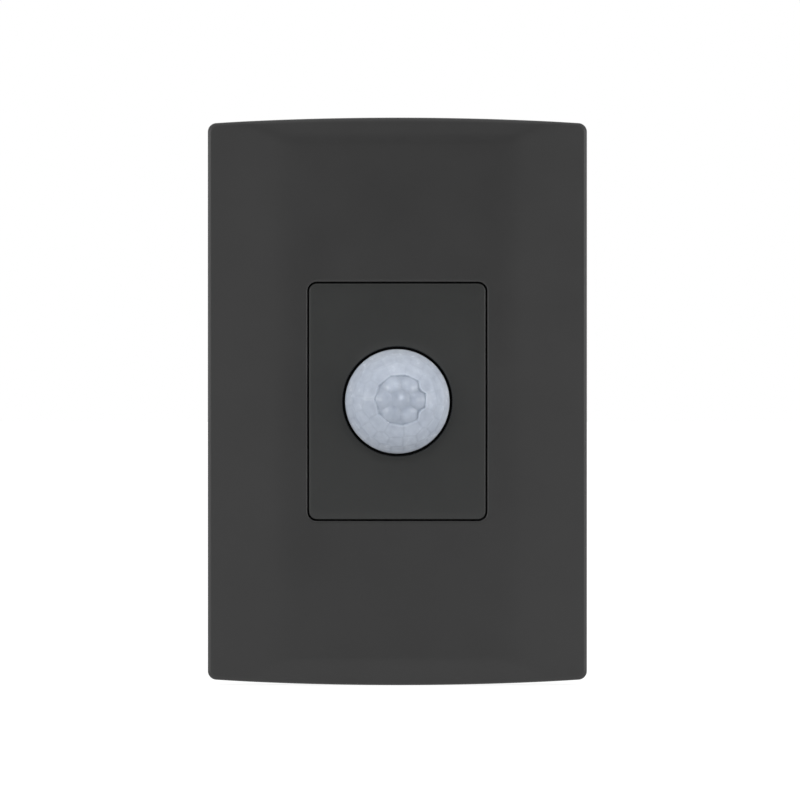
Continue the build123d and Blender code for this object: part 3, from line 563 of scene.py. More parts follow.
@dataclass(frozen=True)
class MouldedPlastic(Finish):
    """Moulded plastic with a fine grain."""

    colour: Colour
    roughness: float
    specular: float = 0.42
    grain: float = 0.25
    depth: float = 0.012
    mottle: float = 0.05
    contrast: Pair = (-0.5, 1.5)
    swing: Pair = (-0.05, 0.05)

    def write(self) -> bpy.types.Material:
        """Grain bends the normal, and the mottling varies the colour and the roughness."""
        dress = Dress(self.label)
        grain = dress.group(MouldGrain().tree(), Grains_per_metre=1 / (self.grain * MM))
        dark, light = shaded(self.colour, 1 - self.mottle), shaded(self.colour, 1 + self.mottle)
        return dress.finished(
            Base_Color=dress.blend(dress.span(grain["Mottle"], *self.contrast), dark, light),
            Roughness=dress.rough(grain["Mottle"], self.roughness, self.swing),
            Specular_IOR_Level=self.specular,
            Normal=dress.relief(grain["Grain"], self.depth),
        )


@dataclass(frozen=True)
class MilkyLens(Finish):
    """Milky polyethylene of the lens, coloured by painted light and shade: painted shade in its grooves and
    a painted highlight on the lip of its flower.
    """

    colour: Colour = (0.60, 0.66, 0.76)
    # dark is the colour at full painted shade, and light the colour at full painted light.
    dark: Colour = (0.39, 0.44, 0.525)
    light: Colour = (0.82, 0.88, 0.98)
    cloud: Colour = (0.83, 0.84, 0.86)
    clear: Colour = (1.0, 1.0, 1.0)
    clouds_per_metre: float = 36000.0
    contrast: Pair = (-0.6, 1.6)
    roughness: float = 0.26
    swing: Pair = (-0.05, 0.05)
    depth: float = 0.5
    ripple: float = 0.03

    def write(self) -> bpy.types.Material:
        """Colour by the painted light and shade that the mesh carries, with slow clouds, over a shallow
        glow under the skin.
        """
        dress = Dress(self.label)
        painted_shading = dress.node("Attribute", attribute_name="painted_shading").outputs["Fac"]
        mottle = dress.group(MouldGrain().tree(), Grains_per_metre=self.clouds_per_metre)["Mottle"]
        # Painted shade darkens the colour towards dark below nil, and painted light lightens it towards
        # light above nil.
        toned = dress.blend(dress.span(painted_shading, 0.0, 1.0, end=-1.0), self.colour, self.dark)
        toned = dress.blend(dress.span(painted_shading, 0.0, 1.0), toned, self.light)
        drift = dress.blend(dress.span(mottle, *self.contrast), self.cloud, self.clear)
        return dress.finished(
            Base_Color=dress.blend(1.0, toned, drift, "MULTIPLY"),
            Roughness=dress.rough(mottle, self.roughness, self.swing),
            Specular_IOR_Level=0.25,
            Coat_Weight=0.5,
            Coat_Roughness=0.12,
            Subsurface_Weight=0.5,
            Subsurface_Radius=(1.0, 1.0, 1.0),
            Subsurface_Scale=self.depth * MM,
            Normal=dress.relief(mottle, self.ripple),
        )


@dataclass(frozen=True)
class PlatedMetal(Finish):
    """Rolled, turned or plated metal with drawn lines."""

    colour: Colour
    roughness: float
    lines_per_metre: float = 9000.0
    along: float = 0.03
    shade: float = 0.88
    swing: Pair = (0.1, -0.05)
    depth: float = 0.01

    def write(self) -> bpy.types.Material:
        """Lines bend the normal, and stains vary the colour and the roughness."""
        dress = Dress(self.label)
        marks = dress.group(BrushMarks().tree(), Lines_per_metre=self.lines_per_metre, Along=self.along)
        return dress.finished(
            Base_Color=dress.tint(marks["Stains"], self.colour, self.shade),
            Roughness=dress.rough(marks["Stains"], self.roughness, self.swing),
            Metallic=1.0,
            Normal=dress.relief(marks["Lines"], self.depth),
        )


@dataclass(frozen=True)
class CircuitBoard(Finish):
    """Glass fibre board with tracks under its green coat."""

    colour: Colour = (0.012, 0.075, 0.035)
    track: Colour = (0.03, 0.14, 0.06)
    cells_per_metre: float = 420.0
    track_edge: Pair = (0.34, 0.38)
    track_rise: float = 0.03
    weave_per_metre: float = 1500.0
    roughness: Pair = (0.25, 0.4)

    def write(self) -> bpy.types.Material:
        """Cells along the board's two axes make the tracks, which stand a little proud."""
        dress = Dress(self.label)
        cells = dress.node("TexVoronoi", distance="CHEBYCHEV", feature="F1")
        dress.feed(cells, Vector=dress.place, Scale=self.cells_per_metre, Randomness=0.85)
        start, end = self.track_edge
        bare = dress.span(cells.outputs["Distance"], 0.0, 1.0, start, end, "SMOOTHSTEP")
        weave = dress.group(MouldGrain().tree(), Grains_per_metre=self.weave_per_metre)
        return dress.finished(
            Base_Color=dress.blend(bare, self.track, self.colour),
            Roughness=dress.span(weave["Mottle"], *self.roughness),
            Normal=dress.relief(bare, -self.track_rise),
        )


@dataclass(frozen=True)
class CoatedCase(Finish):
    """Glossy coat or sleeve whose thickness waves a little."""

    colour: Colour
    roughness: float
    wave: float = 0.05
    grains_per_metre: float = 20000.0
    shade: float = 0.85
    swing: Pair = (-0.05, 0.1)

    def write(self) -> bpy.types.Material:
        """Slow noise bends the coat and varies its colour and its roughness."""
        dress = Dress(self.label)
        mottle = dress.group(MouldGrain().tree(), Grains_per_metre=self.grains_per_metre)["Mottle"]
        return dress.finished(
            Base_Color=dress.tint(mottle, self.colour, self.shade),
            Roughness=dress.rough(mottle, self.roughness, self.swing),
            Coat_Weight=0.3,
            Normal=dress.relief(mottle, self.wave),
        )


@dataclass(frozen=True)
class WoundWire(Finish):
    """Enamelled wire wound side by side."""

    colour: Colour = (0.55, 0.2, 0.06)
    wave_scale: float = 300.0
    shade: float = 0.35
    roughness: Pair = (0.5, 0.28)
    depth: float = 0.05

    def write(self) -> bpy.types.Material:
        """A wave along Y makes the turns, each about a millimetre wide and darker where two meet."""
        dress = Dress(self.label)
        wave = dress.node("TexWave", bands_direction="Y", wave_profile="SIN")
        turns = dress.feed(wave, Vector=dress.place, Scale=self.wave_scale, Distortion=0.4).outputs["Fac"]
        return dress.finished(
            Base_Color=dress.tint(turns, self.colour, self.shade),
            Roughness=dress.span(turns, *self.roughness),
            Metallic=0.8,
            Normal=dress.relief(turns, self.depth),
        )


FINISHES: dict[str, Finish] = {
    finish.name: finish
    for finish in (
        MouldedPlastic("plate_plastic", (0.0272, 0.0272, 0.0272), 0.4),
        MouldedPlastic("module_plastic", (0.0243, 0.0254, 0.0248), 0.4),
        MouldedPlastic("frame_plastic", (0.03, 0.03, 0.031), 0.45, depth=0.015),
        MouldedPlastic("housing_plastic", (0.022, 0.022, 0.023), 0.45, depth=0.015),
        MilkyLens("lens_plastic"),
        MouldedPlastic("inner_plastic", (0.018, 0.018, 0.02), 0.4),
        CircuitBoard("board"),
        PlatedMetal("tinned_metal", (0.62, 0.62, 0.61), 0.28),
        CoatedCase("filter_glass", (0.02, 0.012, 0.02), 0.08, 0.01),
        CoatedCase("cell", (0.62, 0.58, 0.46), 0.15),
        CoatedCase("film_case", (0.52, 0.34, 0.03), 0.35),
        CoatedCase("sleeve", (0.012, 0.015, 0.035), 0.25),
        CoatedCase("varistor_coat", (0.02, 0.06, 0.3), 0.3, 0.12),
        CoatedCase("resistor_coat", (0.06, 0.2, 0.1), 0.35, 0.12),
        CoatedCase("relay_case", (0.02, 0.06, 0.25), 0.3),
        PlatedMetal("iron", (0.5, 0.5, 0.49), 0.35),
        WoundWire("copper_wire"),
        PlatedMetal("contact_metal", (0.65, 0.42, 0.2), 0.3),
        PlatedMetal("brass", (0.7, 0.5, 0.2), 0.28),
        MouldedPlastic("dial_plastic", (0.62, 0.62, 0.58), 0.45),
        MouldedPlastic("dial_case", (0.02, 0.05, 0.2), 0.4),
    )
}
# Near-black finish of the ring of painted shade in the gap round the lens.
GAP_SHADE_FINISH = MouldedPlastic("gap_shade", (0.006, 0.006, 0.006), 0.9, 0.1, 0.3, 0.05)


def wear(piece: bpy.types.Object, slot: str) -> None:
    """Gives a piece the finish of a material slot of the record."""
    piece.data.materials.clear()
    piece.data.materials.append(FINISHES[slot].material())


# Sub-assemblies


@dataclass
class FrontPlate:
    """Wall plate: a flat field that falls away softly, a rounded rim, a window, and its hollow back."""

    width: float = 80.2
    height: float = 119.998
    arch: float = 1.23
    corner: float = 1.75
    least_corner: float = 0.4
    level: float = 8.0
    wall: float = 2.0
    gap: float = 0.3
    side_slope_width: float = 16.2
    end_slope_width: float = 4.6
    side_fall: float = 5.6
    end_fall: float = 12.0
    side_blend: float = 52.0
    end_blend: float = 14.0
    mitre: float = 0.25
    rim: float = 0.7
    foot: float = 0.25
    window_width: float = 38.0
    window_height: float = 50.5
    window_corner: float = 2.0
    window_edge: float = 0.22
    window_wall: float = 1.4
    window_wall_level: float = 3.2
    window_wall_top: float = 1.0
    window_back_corner: float = 0.6
    hook_spacing: float = 26.0
    notch_width: float = 7.6
    notch_gap: float = 0.05
    rib_width: float = 1.2
    rib_level: float = 4.9
    rib_spacing: Pair = (50.0, 66.0)
    rib_roots: Pair = (0.5, 0.8)
    rib_corner: float = 0.2
    tongue_size: Pair = (7.0, 1.6)
    tongue_spacing: Pair = (58.0, 92.0)
    tongue_level: float = 1.0
    tongue_root: float = 0.3
    tongue_rounding: Pair = (0.3, 0.4)
    back_seam: float = 0.02
    steps: tuple[int, int, int] = (96, 64, 12)
    window_edge_steps: int = 4
    front_steps: tuple[tuple[float, int], ...] = ((0.45, 33), (0.8, 13), (1.0, 25))
    rim_steps: int = 7
    foot_steps: int = 3
    back_steps: int = 29

    @property
    def ceiling(self) -> float:
        """Level of the hollow back under the field."""
        return self.level - self.wall

    def fall(self, points: Array) -> Array:
        """How far the front lies below the field.

        Formula: along each axis a straight slope that starts in an arc, the two joined by a smooth
        maximum, half of (a + b + the root of (a - b) squared plus k squared), with k nil on the field.

        Args:
            points: Rows of x and z in mm.

        Returns:
            The drop at each point in mm.
        """
        drops = []
        for place, half_field, angle, radius in (
            (points[:, 0], self.width / 2 - self.side_slope_width, self.side_fall, self.side_blend),
            (points[:, 1], self.height / 2 - self.end_slope_width, self.end_fall, self.end_blend),
        ):
            slope = np.tan(np.radians(angle))
            reach = radius * np.tan(np.radians(angle) / 2)
            past = np.abs(place) - half_field
            arc = np.clip(past + reach, 0, None) ** 2 * slope / (4 * reach)
            drops.append(np.where(past > reach, past * slope, arc))
        side, end = drops
        soft = self.mitre * (side + end) / (side + end + self.mitre)
        return (side + end + np.sqrt((side - end) ** 2 + soft**2)) / 2

    def outer(self, places: Array, skin: float) -> Array:
        """Outline of the plate drawn in by a skin."""
        corner = max(self.corner - skin / 2, self.least_corner)
        return rounded(places, self.width / 2 - skin, self.height / 2 - skin, corner, self.arch)

    def between(self, places: Array, share: float, inner: tuple[float, ...], skin: float) -> Array:
        """Outline a share of the way from a rounded rectangle to the plate's outline."""
        return (1 - share) * rounded(places, *inner) + share * self.outer(places, skin)

    def front_shares(self) -> list[float]:
        """Rising shares of the way from the window to the rim, closer where the front bends."""
        shares, start = [], 0.0
        for end, steps in self.front_steps:
            shares += list(np.linspace(start, end, steps + 1)[1:])
            start = end
        return shares

    def rings(self) -> list[Array]:
        """Rings of the plate: up the window's wall, over the front and the rim, and back inside.

        Returns:
            The rings of a joined stack.
        """
        half_straight = self.window_height / 2 - self.window_corner
        notch = [(self.hook_spacing / 2 + s * self.notch_width / 2) / half_straight for s in (-1, 1)]
        sides, ends, corners = self.steps
        places = stations(even_marks(sides, *notch), even_marks(ends), corners)
        window = (self.window_width / 2, self.window_height / 2, self.window_corner)
        at_notch = between_steps(places, notch)
        wall_end = np.where(at_notch, self.ceiling - self.notch_gap, self.window_wall_level)
        wall_top = self.level - self.window_wall_top
        rings = [
            at_level(rounded(places, *window), wall_end + share * (wall_top - wall_end))
            for share in (0, 0.5, 1)
        ]
        for c, s in quarter(self.window_edge_steps):
            grown = rounded(places, *(size + self.window_edge * (1 - c) for size in window))
            drop = self.fall(grown) + self.window_edge * (1 - s)
            rings.append(at_level(grown, self.level - drop))
        opened = tuple(size + self.window_edge for size in window)
        for share in self.front_shares():
            front = self.between(places, share, opened, self.rim)
            rings.append(at_level(front, self.level - self.fall(front)))
        for c, s in quarter(self.rim_steps)[1:]:
            front = self.outer(places, self.rim * (1 - s))
            rings.append(at_level(front, self.level - self.fall(front) - self.rim * (1 - c)))
        for c, s in quarter(self.foot_steps)[::-1]:
            drawn = self.outer(places, self.foot * (1 - s))
            rings.append(at_level(drawn, self.gap + self.foot * (1 - c)))
        inside = self.outer(places, self.wall)
        rings.append(at_level(inside, self.gap))
        behind = (window[0] + self.window_wall, window[1] + self.window_wall, self.window_back_corner)
        for share in np.linspace(1, 0, self.back_steps + 1):
            back = self.between(places, share, behind, self.wall)
            rings.append(at_level(back, self.ceiling - self.fall(back)))
        wall_foot = np.minimum(wall_end, self.ceiling - self.back_seam)
        rings.append(at_level(rounded(places, *behind), wall_foot))
        return rings

    def build(self) -> None:
        """Builds the plate with its ribs and tongues, and dresses it."""
        rib_x, rib_z = self.rib_spacing
        side_top, end_top = (self.ceiling + root for root in self.rib_roots)
        tongue_x, tongue_z = self.tongue_spacing
        tongue_levels = (self.tongue_level, self.ceiling + self.tongue_root)
        shells = [Shell.from_rings(self.rings(), Ends.JOINED)]
        for side in (-1, 1):
            for centre, size, top in (
                ((side * rib_x / 2, 0), (self.rib_width, rib_z), side_top),
                ((0, side * rib_z / 2), (rib_x, self.rib_width), end_top),
            ):
                shells.append(block(centre, size, (self.rib_level, top), self.rib_corner))
            for end in (-1, 1):
                centre = (side * tongue_x / 2, end * tongue_z / 2)
                shells.append(block(centre, self.tongue_size, tongue_levels, *self.tongue_rounding))
        piece = moulding("wall_plate", shells)
        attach(piece, Body.PLATE.value)
        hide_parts("front_plate")
        wear(piece, "plate_plastic")
        log.info("plate: %d faces", len(piece.data.polygons))


@dataclass
class SensorCover:
    """Cover of the module: a flat face, a round hole for the lens, a skirt, posts and prongs."""

    width: float = 37.4
    height: float = 49.9
    corner: float = 1.7
    level: float = 7.8
    back_level: float = 2.5
    ceiling: float = 6.0
    skirt: float = 1.5
    skirt_corner: float = 1.4
    edge: float = 0.35
    hole_radius: float = 11.6
    hole_edge: float = 0.2
    pocket_depth: float = 0.5
    pocket_width: float = 6.3
    pocket_level: float = 5.35
    pocket_bevel: float = 0.02
    hook_spacing: float = 26.0
    post_size: Pair = (3.6, 3.0)
    post_place: Pair = (13.3, 19.0)
    post_level: float = 2.2
    root: float = 0.9
    prong_x: float = 13.9
    prong_z: float = 15.0
    prong_wall: float = 1.0
    prong_width: float = 4.0
    prong_level: float = 0.33
    prong_rounding: Pair = (0.15, 0.12)
    lens_prong_x: float = 13.45
    lens_prong_width: float = 8.0
    lens_prong_level: float = 2.93
    nose: float = 0.6
    nose_root: float = 0.1
    nose_ends: tuple[Pair, ...] = ((0.0, 0.92), (0.04, 1.0), (0.96, 1.0), (1.0, 0.92))
    nose_steps: int = 24
    steps: tuple[int, int, int] = (72, 52, 10)
    hole_edge_steps: int = 4
    face_steps: int = 8
    edge_steps: int = 6
    back_steps: int = 5

    def rings(self) -> list[Array]:
        """Rings of the cover: out of the lens hole, over the face, down the skirt and back inside.

        Returns:
            The rings of a joined stack.
        """
        half_straight = self.height / 2 - self.corner
        pocket = [(self.hook_spacing / 2 + s * self.pocket_width / 2) / half_straight for s in (-1, 1)]
        sides, ends, corners = self.steps
        places = stations(even_marks(sides, *pocket), even_marks(ends), corners)
        half = (self.width / 2, self.height / 2)
        face = rounded(places, *half, self.corner)
        bearing = np.arctan2(face[:, 1], face[:, 0])
        circle = np.stack([np.cos(bearing), np.sin(bearing)], axis=1)
        hole = circle * self.hole_radius
        rings = [at_level(hole, self.ceiling)]
        for c, s in quarter(self.hole_edge_steps):
            radius = self.hole_radius + self.hole_edge * (1 - c)
            rings.append(at_level(circle * radius, self.level - self.hole_edge * (1 - s)))
        inner = circle * (self.hole_radius + self.hole_edge)
        flat = rounded(places, half[0] - self.edge, half[1] - self.edge, self.corner - self.edge)
        for share in np.linspace(0, 1, self.face_steps + 1)[1:]:
            rings.append(at_level((1 - share) * inner + share * flat, self.level))
        for c, s in quarter(self.edge_steps)[1:]:
            skin = self.edge * (1 - s)
            drawn = rounded(places, half[0] - skin, half[1] - skin, self.corner - skin)
            rings.append(at_level(drawn, self.level - self.edge * (1 - c)))
        pressed = face.copy()
        pressed[:, 0] -= np.sign(pressed[:, 0]) * self.pocket_depth * between_steps(places, pocket)
        rings.append(at_level(face, self.pocket_level))
        rings.append(at_level(pressed, self.pocket_level - self.pocket_bevel))
        rings.append(at_level(pressed, self.back_level))
        inside = rounded(places, half[0] - self.skirt, half[1] - self.skirt, self.skirt_corner)
        rings.append(at_level(inside, self.back_level))
        for share in np.linspace(0, 1, self.back_steps + 1)[:-1]:
            rings.append(at_level((1 - share) * inside + share * hole, self.ceiling))
        return rings

    def prong(self, centre: Pair, width: float, low: float) -> list[Shell]:
        """Prong whose nose points inwards.

        Formula: the nose is half an ellipse, carried along Z and a little smaller at its two ends.

        Args:
            centre: x of its inner face, with its sign, and z of its middle.
            width: Its width along z in mm.
            low: The level of its tip.

        Returns:
            The closed surfaces of its leg and its nose.
        """
        side = np.sign(centre[0])
        levels = (low, self.ceiling + self.root)
        leg_place = (centre[0] + side * self.prong_wall / 2, centre[1])
        leg = block(leg_place, (self.prong_wall, width), levels, *self.prong_rounding)
        turn = round_turn(self.nose_steps)
        reach = self.nose + self.nose_root
        rings = []
        for share, scale in self.nose_ends:
            x = centre[0] + side * self.nose_root - side * reach * np.clip(np.cos(turn), 0, 1) * scale
            level = low + self.nose * 0.5 + self.nose * 0.5 * np.sin(turn) * scale
            z = np.full_like(turn, centre[1] + (share - 0.5) * width)
            rings.append(np.stack([x, -level, z], axis=1))
        return [leg, Shell.from_rings(rings, Ends.CAPPED)]

    def build(self) -> None:
        """Builds the cover with its posts and prongs, and dresses it."""
        post_x, post_z = self.post_place
        post_levels = (self.post_level, self.ceiling + self.root)
        shells = [Shell.from_rings(self.rings(), Ends.JOINED)]
        for side in (-1, 1):
            for end in (-1, 1):
                shells.append(block((side * post_x, end * post_z), self.post_size, post_levels))
                place = (side * self.prong_x, end * self.prong_z)
                shells += self.prong(place, self.prong_width, self.prong_level)
            place = (side * self.lens_prong_x, 0.0)
            shells += self.prong(place, self.lens_prong_width, self.lens_prong_level)
        piece = moulding("sensor_face", shells)
        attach(piece, Body.BASE.value)
        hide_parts("sensor_cover")
        wear(piece, "module_plastic")
        log.info("cover: %d faces", len(piece.data.polygons))


@dataclass(frozen=True)
class LensPaintedShading:
    """Painted light and shade of the lens, from -1 to 1, with nil as the plain colour.

    Below nil is painted shade: on the sunk floor, in the valleys, in the grooves, on a line just
    inside the flower's edge, at the left and right of the cells and towards the bottom. Above nil
    is painted light: on most petals, as a highlight on the gate mark, on the lip outside the edge,
    down the flank and towards the top. In a pair of values, the first holds all round, and the
    second is added where the mark stands out most. A line is its place outside the flower's edge
    and its width. A range is where a mark starts and where it is full, and an end is where it
    starts to fade and where it is gone.
    """

    floor: float = -0.45
    valley: Pair = (0.15, 0.3)
    valley_height: float = 0.6
    valley_most: float = 0.9
    petals: tuple[float, ...] = (0.0, 0.35, 0.5, 0.05, -0.05, 0.25)
    petal_spread: float = 0.3
    # Painted highlight over the gate mark.
    gate: float = 1.3
    flank: float = 1.1
    flank_range: Pair = (0.93, 0.23)
    shade: Pair = (0.05, 0.45)
    shade_end: Pair = (0.65, 0.9)
    top_light: float = 0.1
    seam: Pair = (0.2, 0.4)
    # Bearing where lit is largest, towards the lower right.
    lit_turn: float = -25.0
    bay_share: Pair = (0.3, 0.7)
    lip: Pair = (0.16, 0.4)
    lip_line: Pair = (0.012, 0.011)
    brink: Pair = (0.12, 0.6)
    brink_line: Pair = (-0.02, 0.014)


@dataclass
class LensDome:
    """Dome of lenslets: a sunk flower of six petals round a small disc, and three rings of cells.

    Places and reaches of the pattern are sines of the angle from its axis. The tilts of the first
    ring and of the top of the hollow are in radians.
    """

    radius: float = 11.03
    sphere: float = 11.26
    centre_level: float = 5.5
    wall: float = 0.7
    flange_radius: float = 13.0
    flange_levels: Pair = (4.8, 6.0)
    flange_edge: float = 0.15
    lean: Pair = (3.9, 1.8)
    flower_reach: float = 0.5
    flower_depth: float = 0.42
    flower_turn: float = -1.8
    bay_depth: float = 0.11
    petal_count: int = 6
    petal_turn: float = -1.5
    petal_place: float = 0.342
    petal_reach: float = 0.172
    petal_rise: float = 0.42
    disc_reach: float = 0.165
    disc_rise: float = 0.16
    lowest_bump: float = -0.4
    gate_place: Pair = (0.0, 0.045)
    gate_reach: float = 0.05
    gate_rise: float = 0.06
    bump_blend: float = 0.035
    edge_sides: int = 11
    edge_width: float = 0.022
    ring_tilts: tuple[float, ...] = (37.0, 53.0, 68.0)
    ring_counts: tuple[int, ...] = (11, 18, 24)
    ring_shifts: tuple[float, ...] = (0.0, 0.31, 0.0)
    facet_share: float = 0.45
    facet_rise: float = 0.017
    least_cosine: float = 0.3
    groove_width: float = 0.012
    groove_depth: float = 0.05
    rim_fade: Pair = (0.26, 0.4)
    # Ring of painted shade at the bottom of the gap round the lens.
    shade_ring_radius: float = 11.6
    shade_ring_rise: float = 0.35
    shade_ring_lean: float = 0.12
    shade_ring_overlap: float = 0.02
    around: int = 384
    flower_margin: float = 5.0
    flower_rings: int = 92
    cell_rings: int = 55
    hollow_rings: int = 25
    top_tilt: float = 0.004
    hollow_top_tilt: float = 0.02
    crease: float = 60.0
    painted_shading_tones: LensPaintedShading = LensPaintedShading()

    def directions(self, tilt: Array, turn: Array) -> Array:
        """Unit vectors with x to the right, y up and z towards the room."""
        return np.stack([np.sin(tilt) * np.cos(turn), np.sin(tilt) * np.sin(turn), np.cos(tilt)], axis=-1)

    def leaned(self, direction: Array) -> Array:
        """Directions as seen along the axis of the pattern, which leans to the right and up."""
        right, up = np.radians(self.lean)
        about_up = [[np.cos(right), 0, -np.sin(right)], [0, 1, 0], [np.sin(right), 0, np.cos(right)]]
        about_right = [[1, 0, 0], [0, np.cos(up), -np.sin(up)], [0, np.sin(up), np.cos(up)]]
        return direction @ (np.array(about_right) @ np.array(about_up)).T

    def cells(self, direction: Array, seen: Array) -> tuple[Array, Array]:
        """Surface of the rings of cells.

        Formula: a sphere, pressed in towards flat facets by the nearest plane of the rings, with a
        groove wherever two planes are equally near. Both fade out towards the rim.

        Args:
            direction: Unit vectors from the centre of the dome.
            seen: The same ones along the axis of the pattern.

        Returns:
            The distances from the centre in mm, and the share of a groove's depth.
        """
        normals = [
            self.directions(np.radians(tilt), np.radians(360 * (k + shift) / count + self.flower_turn))
            for tilt, count, shift in zip(self.ring_tilts, self.ring_counts, self.ring_shifts)
            for k in range(count)
        ]
        ranked = np.sort(np.stack([seen @ normal for normal in normals]), axis=0)
        facet = np.clip(1 / np.clip(ranked[-1], self.least_cosine, 1.0) - 1, 0, self.facet_rise)
        fade = ramp(direction[..., 2], *self.rim_fade)
        groove = np.clip(1 - (ranked[-1] - ranked[-2]) / self.groove_width, 0, 1) ** 2 * fade
        pressed = self.facet_share * (self.facet_rise - facet) * fade
        return self.sphere * (1 - pressed) - self.groove_depth * groove, groove

    def flower_edge(self, turn: Array) -> tuple[Array, Array]:
        """Edge of the flower.

        Formula: a polygon, the nearest side of which lies at the cosine of half a side over the
        cosine of the angle from its middle, drawn in between the petals of the right side.

        Args:
            turn: Bearings round the axis of the pattern in radians.

        Returns:
            The reach of the edge, and the share of a bay's depth.
        """
        half_side = np.pi / self.edge_sides
        along = np.mod(turn - np.radians(self.flower_turn) - half_side, 2 * half_side) - half_side
        bay = np.clip(-np.cos(self.petal_count * (turn - np.radians(self.petal_turn))), 0, 1)
        bay = bay * np.clip(2 * np.cos(turn), 0, 1)
        reach = self.flower_reach * np.cos(half_side) / np.cos(along)
        return reach * (1 - self.bay_depth * bay), bay

    def bumps(self, across: Array, up: Array) -> tuple[Array, Array]:
        """Round bumps on the flower's floor.

        Formula: each bump is 1 less the square of the distance over its reach, and they are joined
        by a smooth maximum, the logarithm of the sum of the powers of e.

        Args:
            across: Places to the right.
            up: Places upwards.

        Returns:
            Each bump, the disc first and then the petals, and their joined height in mm.
        """
        turns = 2 * np.pi * np.arange(self.petal_count) / self.petal_count + np.radians(self.petal_turn)
        petals = zip(self.petal_place * np.cos(turns), self.petal_place * np.sin(turns))
        places = [(0.0, 0.0, self.disc_reach)] + [(x, z, self.petal_reach) for x, z in petals]
        bumps = np.stack([1 - (np.hypot(across - x, up - z) / reach) ** 2 for x, z, reach in places])
        rises = np.array([self.disc_rise] + [self.petal_rise] * self.petal_count)
        heights = np.clip(bumps, self.lowest_bump, 1) * rises[:, None]
        return bumps, np.log(np.exp(heights / self.bump_blend).sum(axis=0)) * self.bump_blend

    def relief(self, direction: Array) -> tuple[Array, Array]:
        """Distance of the outer surface from the centre of the dome, and its painted light and shade.

        Formula: the cells outside the flower's edge, and inside it a floor sunk by the flower's
        depth with its bumps and the small gate mark, joined by a smooth step. The painted light and
        shade is below nil, as painted shade, on the sunk floor, in the grooves, in the valleys, just
        inside the edge, at the left and right of the cells and towards the bottom, and above nil, as
        painted light, on most petals, as a highlight on the gate mark, on the lip outside the edge,
        down the flank of the dome and towards the top.

        Args:
            direction: Unit vectors from the centre of the dome.

        Returns:
            The distances in mm, and the painted light and shade from -1 to 1.
        """
        painted_shading_tones = self.painted_shading_tones
        seen = self.leaned(direction)
        across, up = seen[..., 0], seen[..., 1]
        reach, turn = np.hypot(across, up), np.arctan2(up, across)
        cells, groove = self.cells(direction, seen)
        edge, bay = self.flower_edge(turn)
        inside = ramp(edge - reach, 0, self.edge_width)
        inside = inside * inside * (3 - 2 * inside)
        bumps, height = self.bumps(across, up)
        gate = swell(np.hypot(across - self.gate_place[0], up - self.gate_place[1]), 0, self.gate_reach)
        flower = self.sphere - self.flower_depth + height + self.gate_rise * gate

        # Painted shade in the valleys between the bumps of the flower.
        valley = np.clip(painted_shading_tones.valley_height - height / self.petal_rise, 0, painted_shading_tones.valley_most)
        # lit is largest towards the lower right, where the painted valley shade and the painted shade of
        # the brink line are deepest and the painted lip highlight is brightest.
        lit = 0.5 + 0.5 * np.cos(turn - np.radians(painted_shading_tones.lit_turn))
        marked = lit * (painted_shading_tones.bay_share[0] + painted_shading_tones.bay_share[1] * bay)
        # Painted highlight on the lip just outside the flower's edge.
        lip = (painted_shading_tones.lip[0] + painted_shading_tones.lip[1] * marked) * swell(reach - edge, *painted_shading_tones.lip_line)
        # Painted shade on a line just inside the flower's edge.
        brink = (painted_shading_tones.brink[0] + painted_shading_tones.brink[1] * marked) * swell(reach - edge, *painted_shading_tones.brink_line)
        # Painted light down the flank of the dome, growing towards its rim.
        flank = painted_shading_tones.flank * ramp(direction[..., 2], *painted_shading_tones.flank_range)
        # Painted shade at the left and right of the cells, fading at the far right, with painted light
        # towards the top and painted shade towards the bottom.
        sides = np.cos(turn) ** 2 * (1 - ramp(across, *painted_shading_tones.shade_end))
        shade = painted_shading_tones.shade[0] + painted_shading_tones.shade[1] * sides - painted_shading_tones.top_light * np.sin(turn)
        # Painted shade in the grooves between cells, deeper in the lower half.
        seam = (painted_shading_tones.seam[0] + painted_shading_tones.seam[1] * np.clip(-up, 0, 1)) * groove
        # Painted light on the petals, one amount for each petal, most on the upper ones.
        petals = np.exp(-((bumps[1:] - 1) ** 2) / painted_shading_tones.petal_spread)
        # Painted shade on the sunk floor of the flower.
        sunk = painted_shading_tones.floor - (painted_shading_tones.valley[0] + painted_shading_tones.valley[1] * lit) * valley
        # The gate term is a painted highlight over the small gate mark.
        sunk = sunk + np.tensordot(np.array(painted_shading_tones.petals), petals, axes=1) + painted_shading_tones.gate * gate
        painted_shading = inside * sunk + (1 - inside) * (flank - shade - seam) + lip - brink
        return cells * (1 - inside) + flower * inside, np.clip(painted_shading, -1, 1)

    def dome_rings(self, tilts: Array) -> tuple[list[Array], list[Array]]:
        """Rings of the outer surface, from its top outwards, and their painted light and shade.

        Args:
            tilts: Angles from the axis in radians.

        Returns:
            The rings, and the painted light and shade of their points.
        """
        turn = round_turn(self.around)
        rings, painted_shading_tones = [], []
        for tilt in tilts:
            direction = self.directions(np.full_like(turn, tilt), turn)
            distance, painted_shading = self.relief(direction)
            x, z = distance * direction[:, 0], distance * direction[:, 1]
            cap = np.minimum(1.0, self.radius / np.maximum(np.hypot(x, z), 1e-6))
            level = self.centre_level + distance * direction[:, 2]
            rings.append(np.stack([x * cap, -level, z * cap], axis=1))
            painted_shading_tones.append(painted_shading)
        return rings, painted_shading_tones

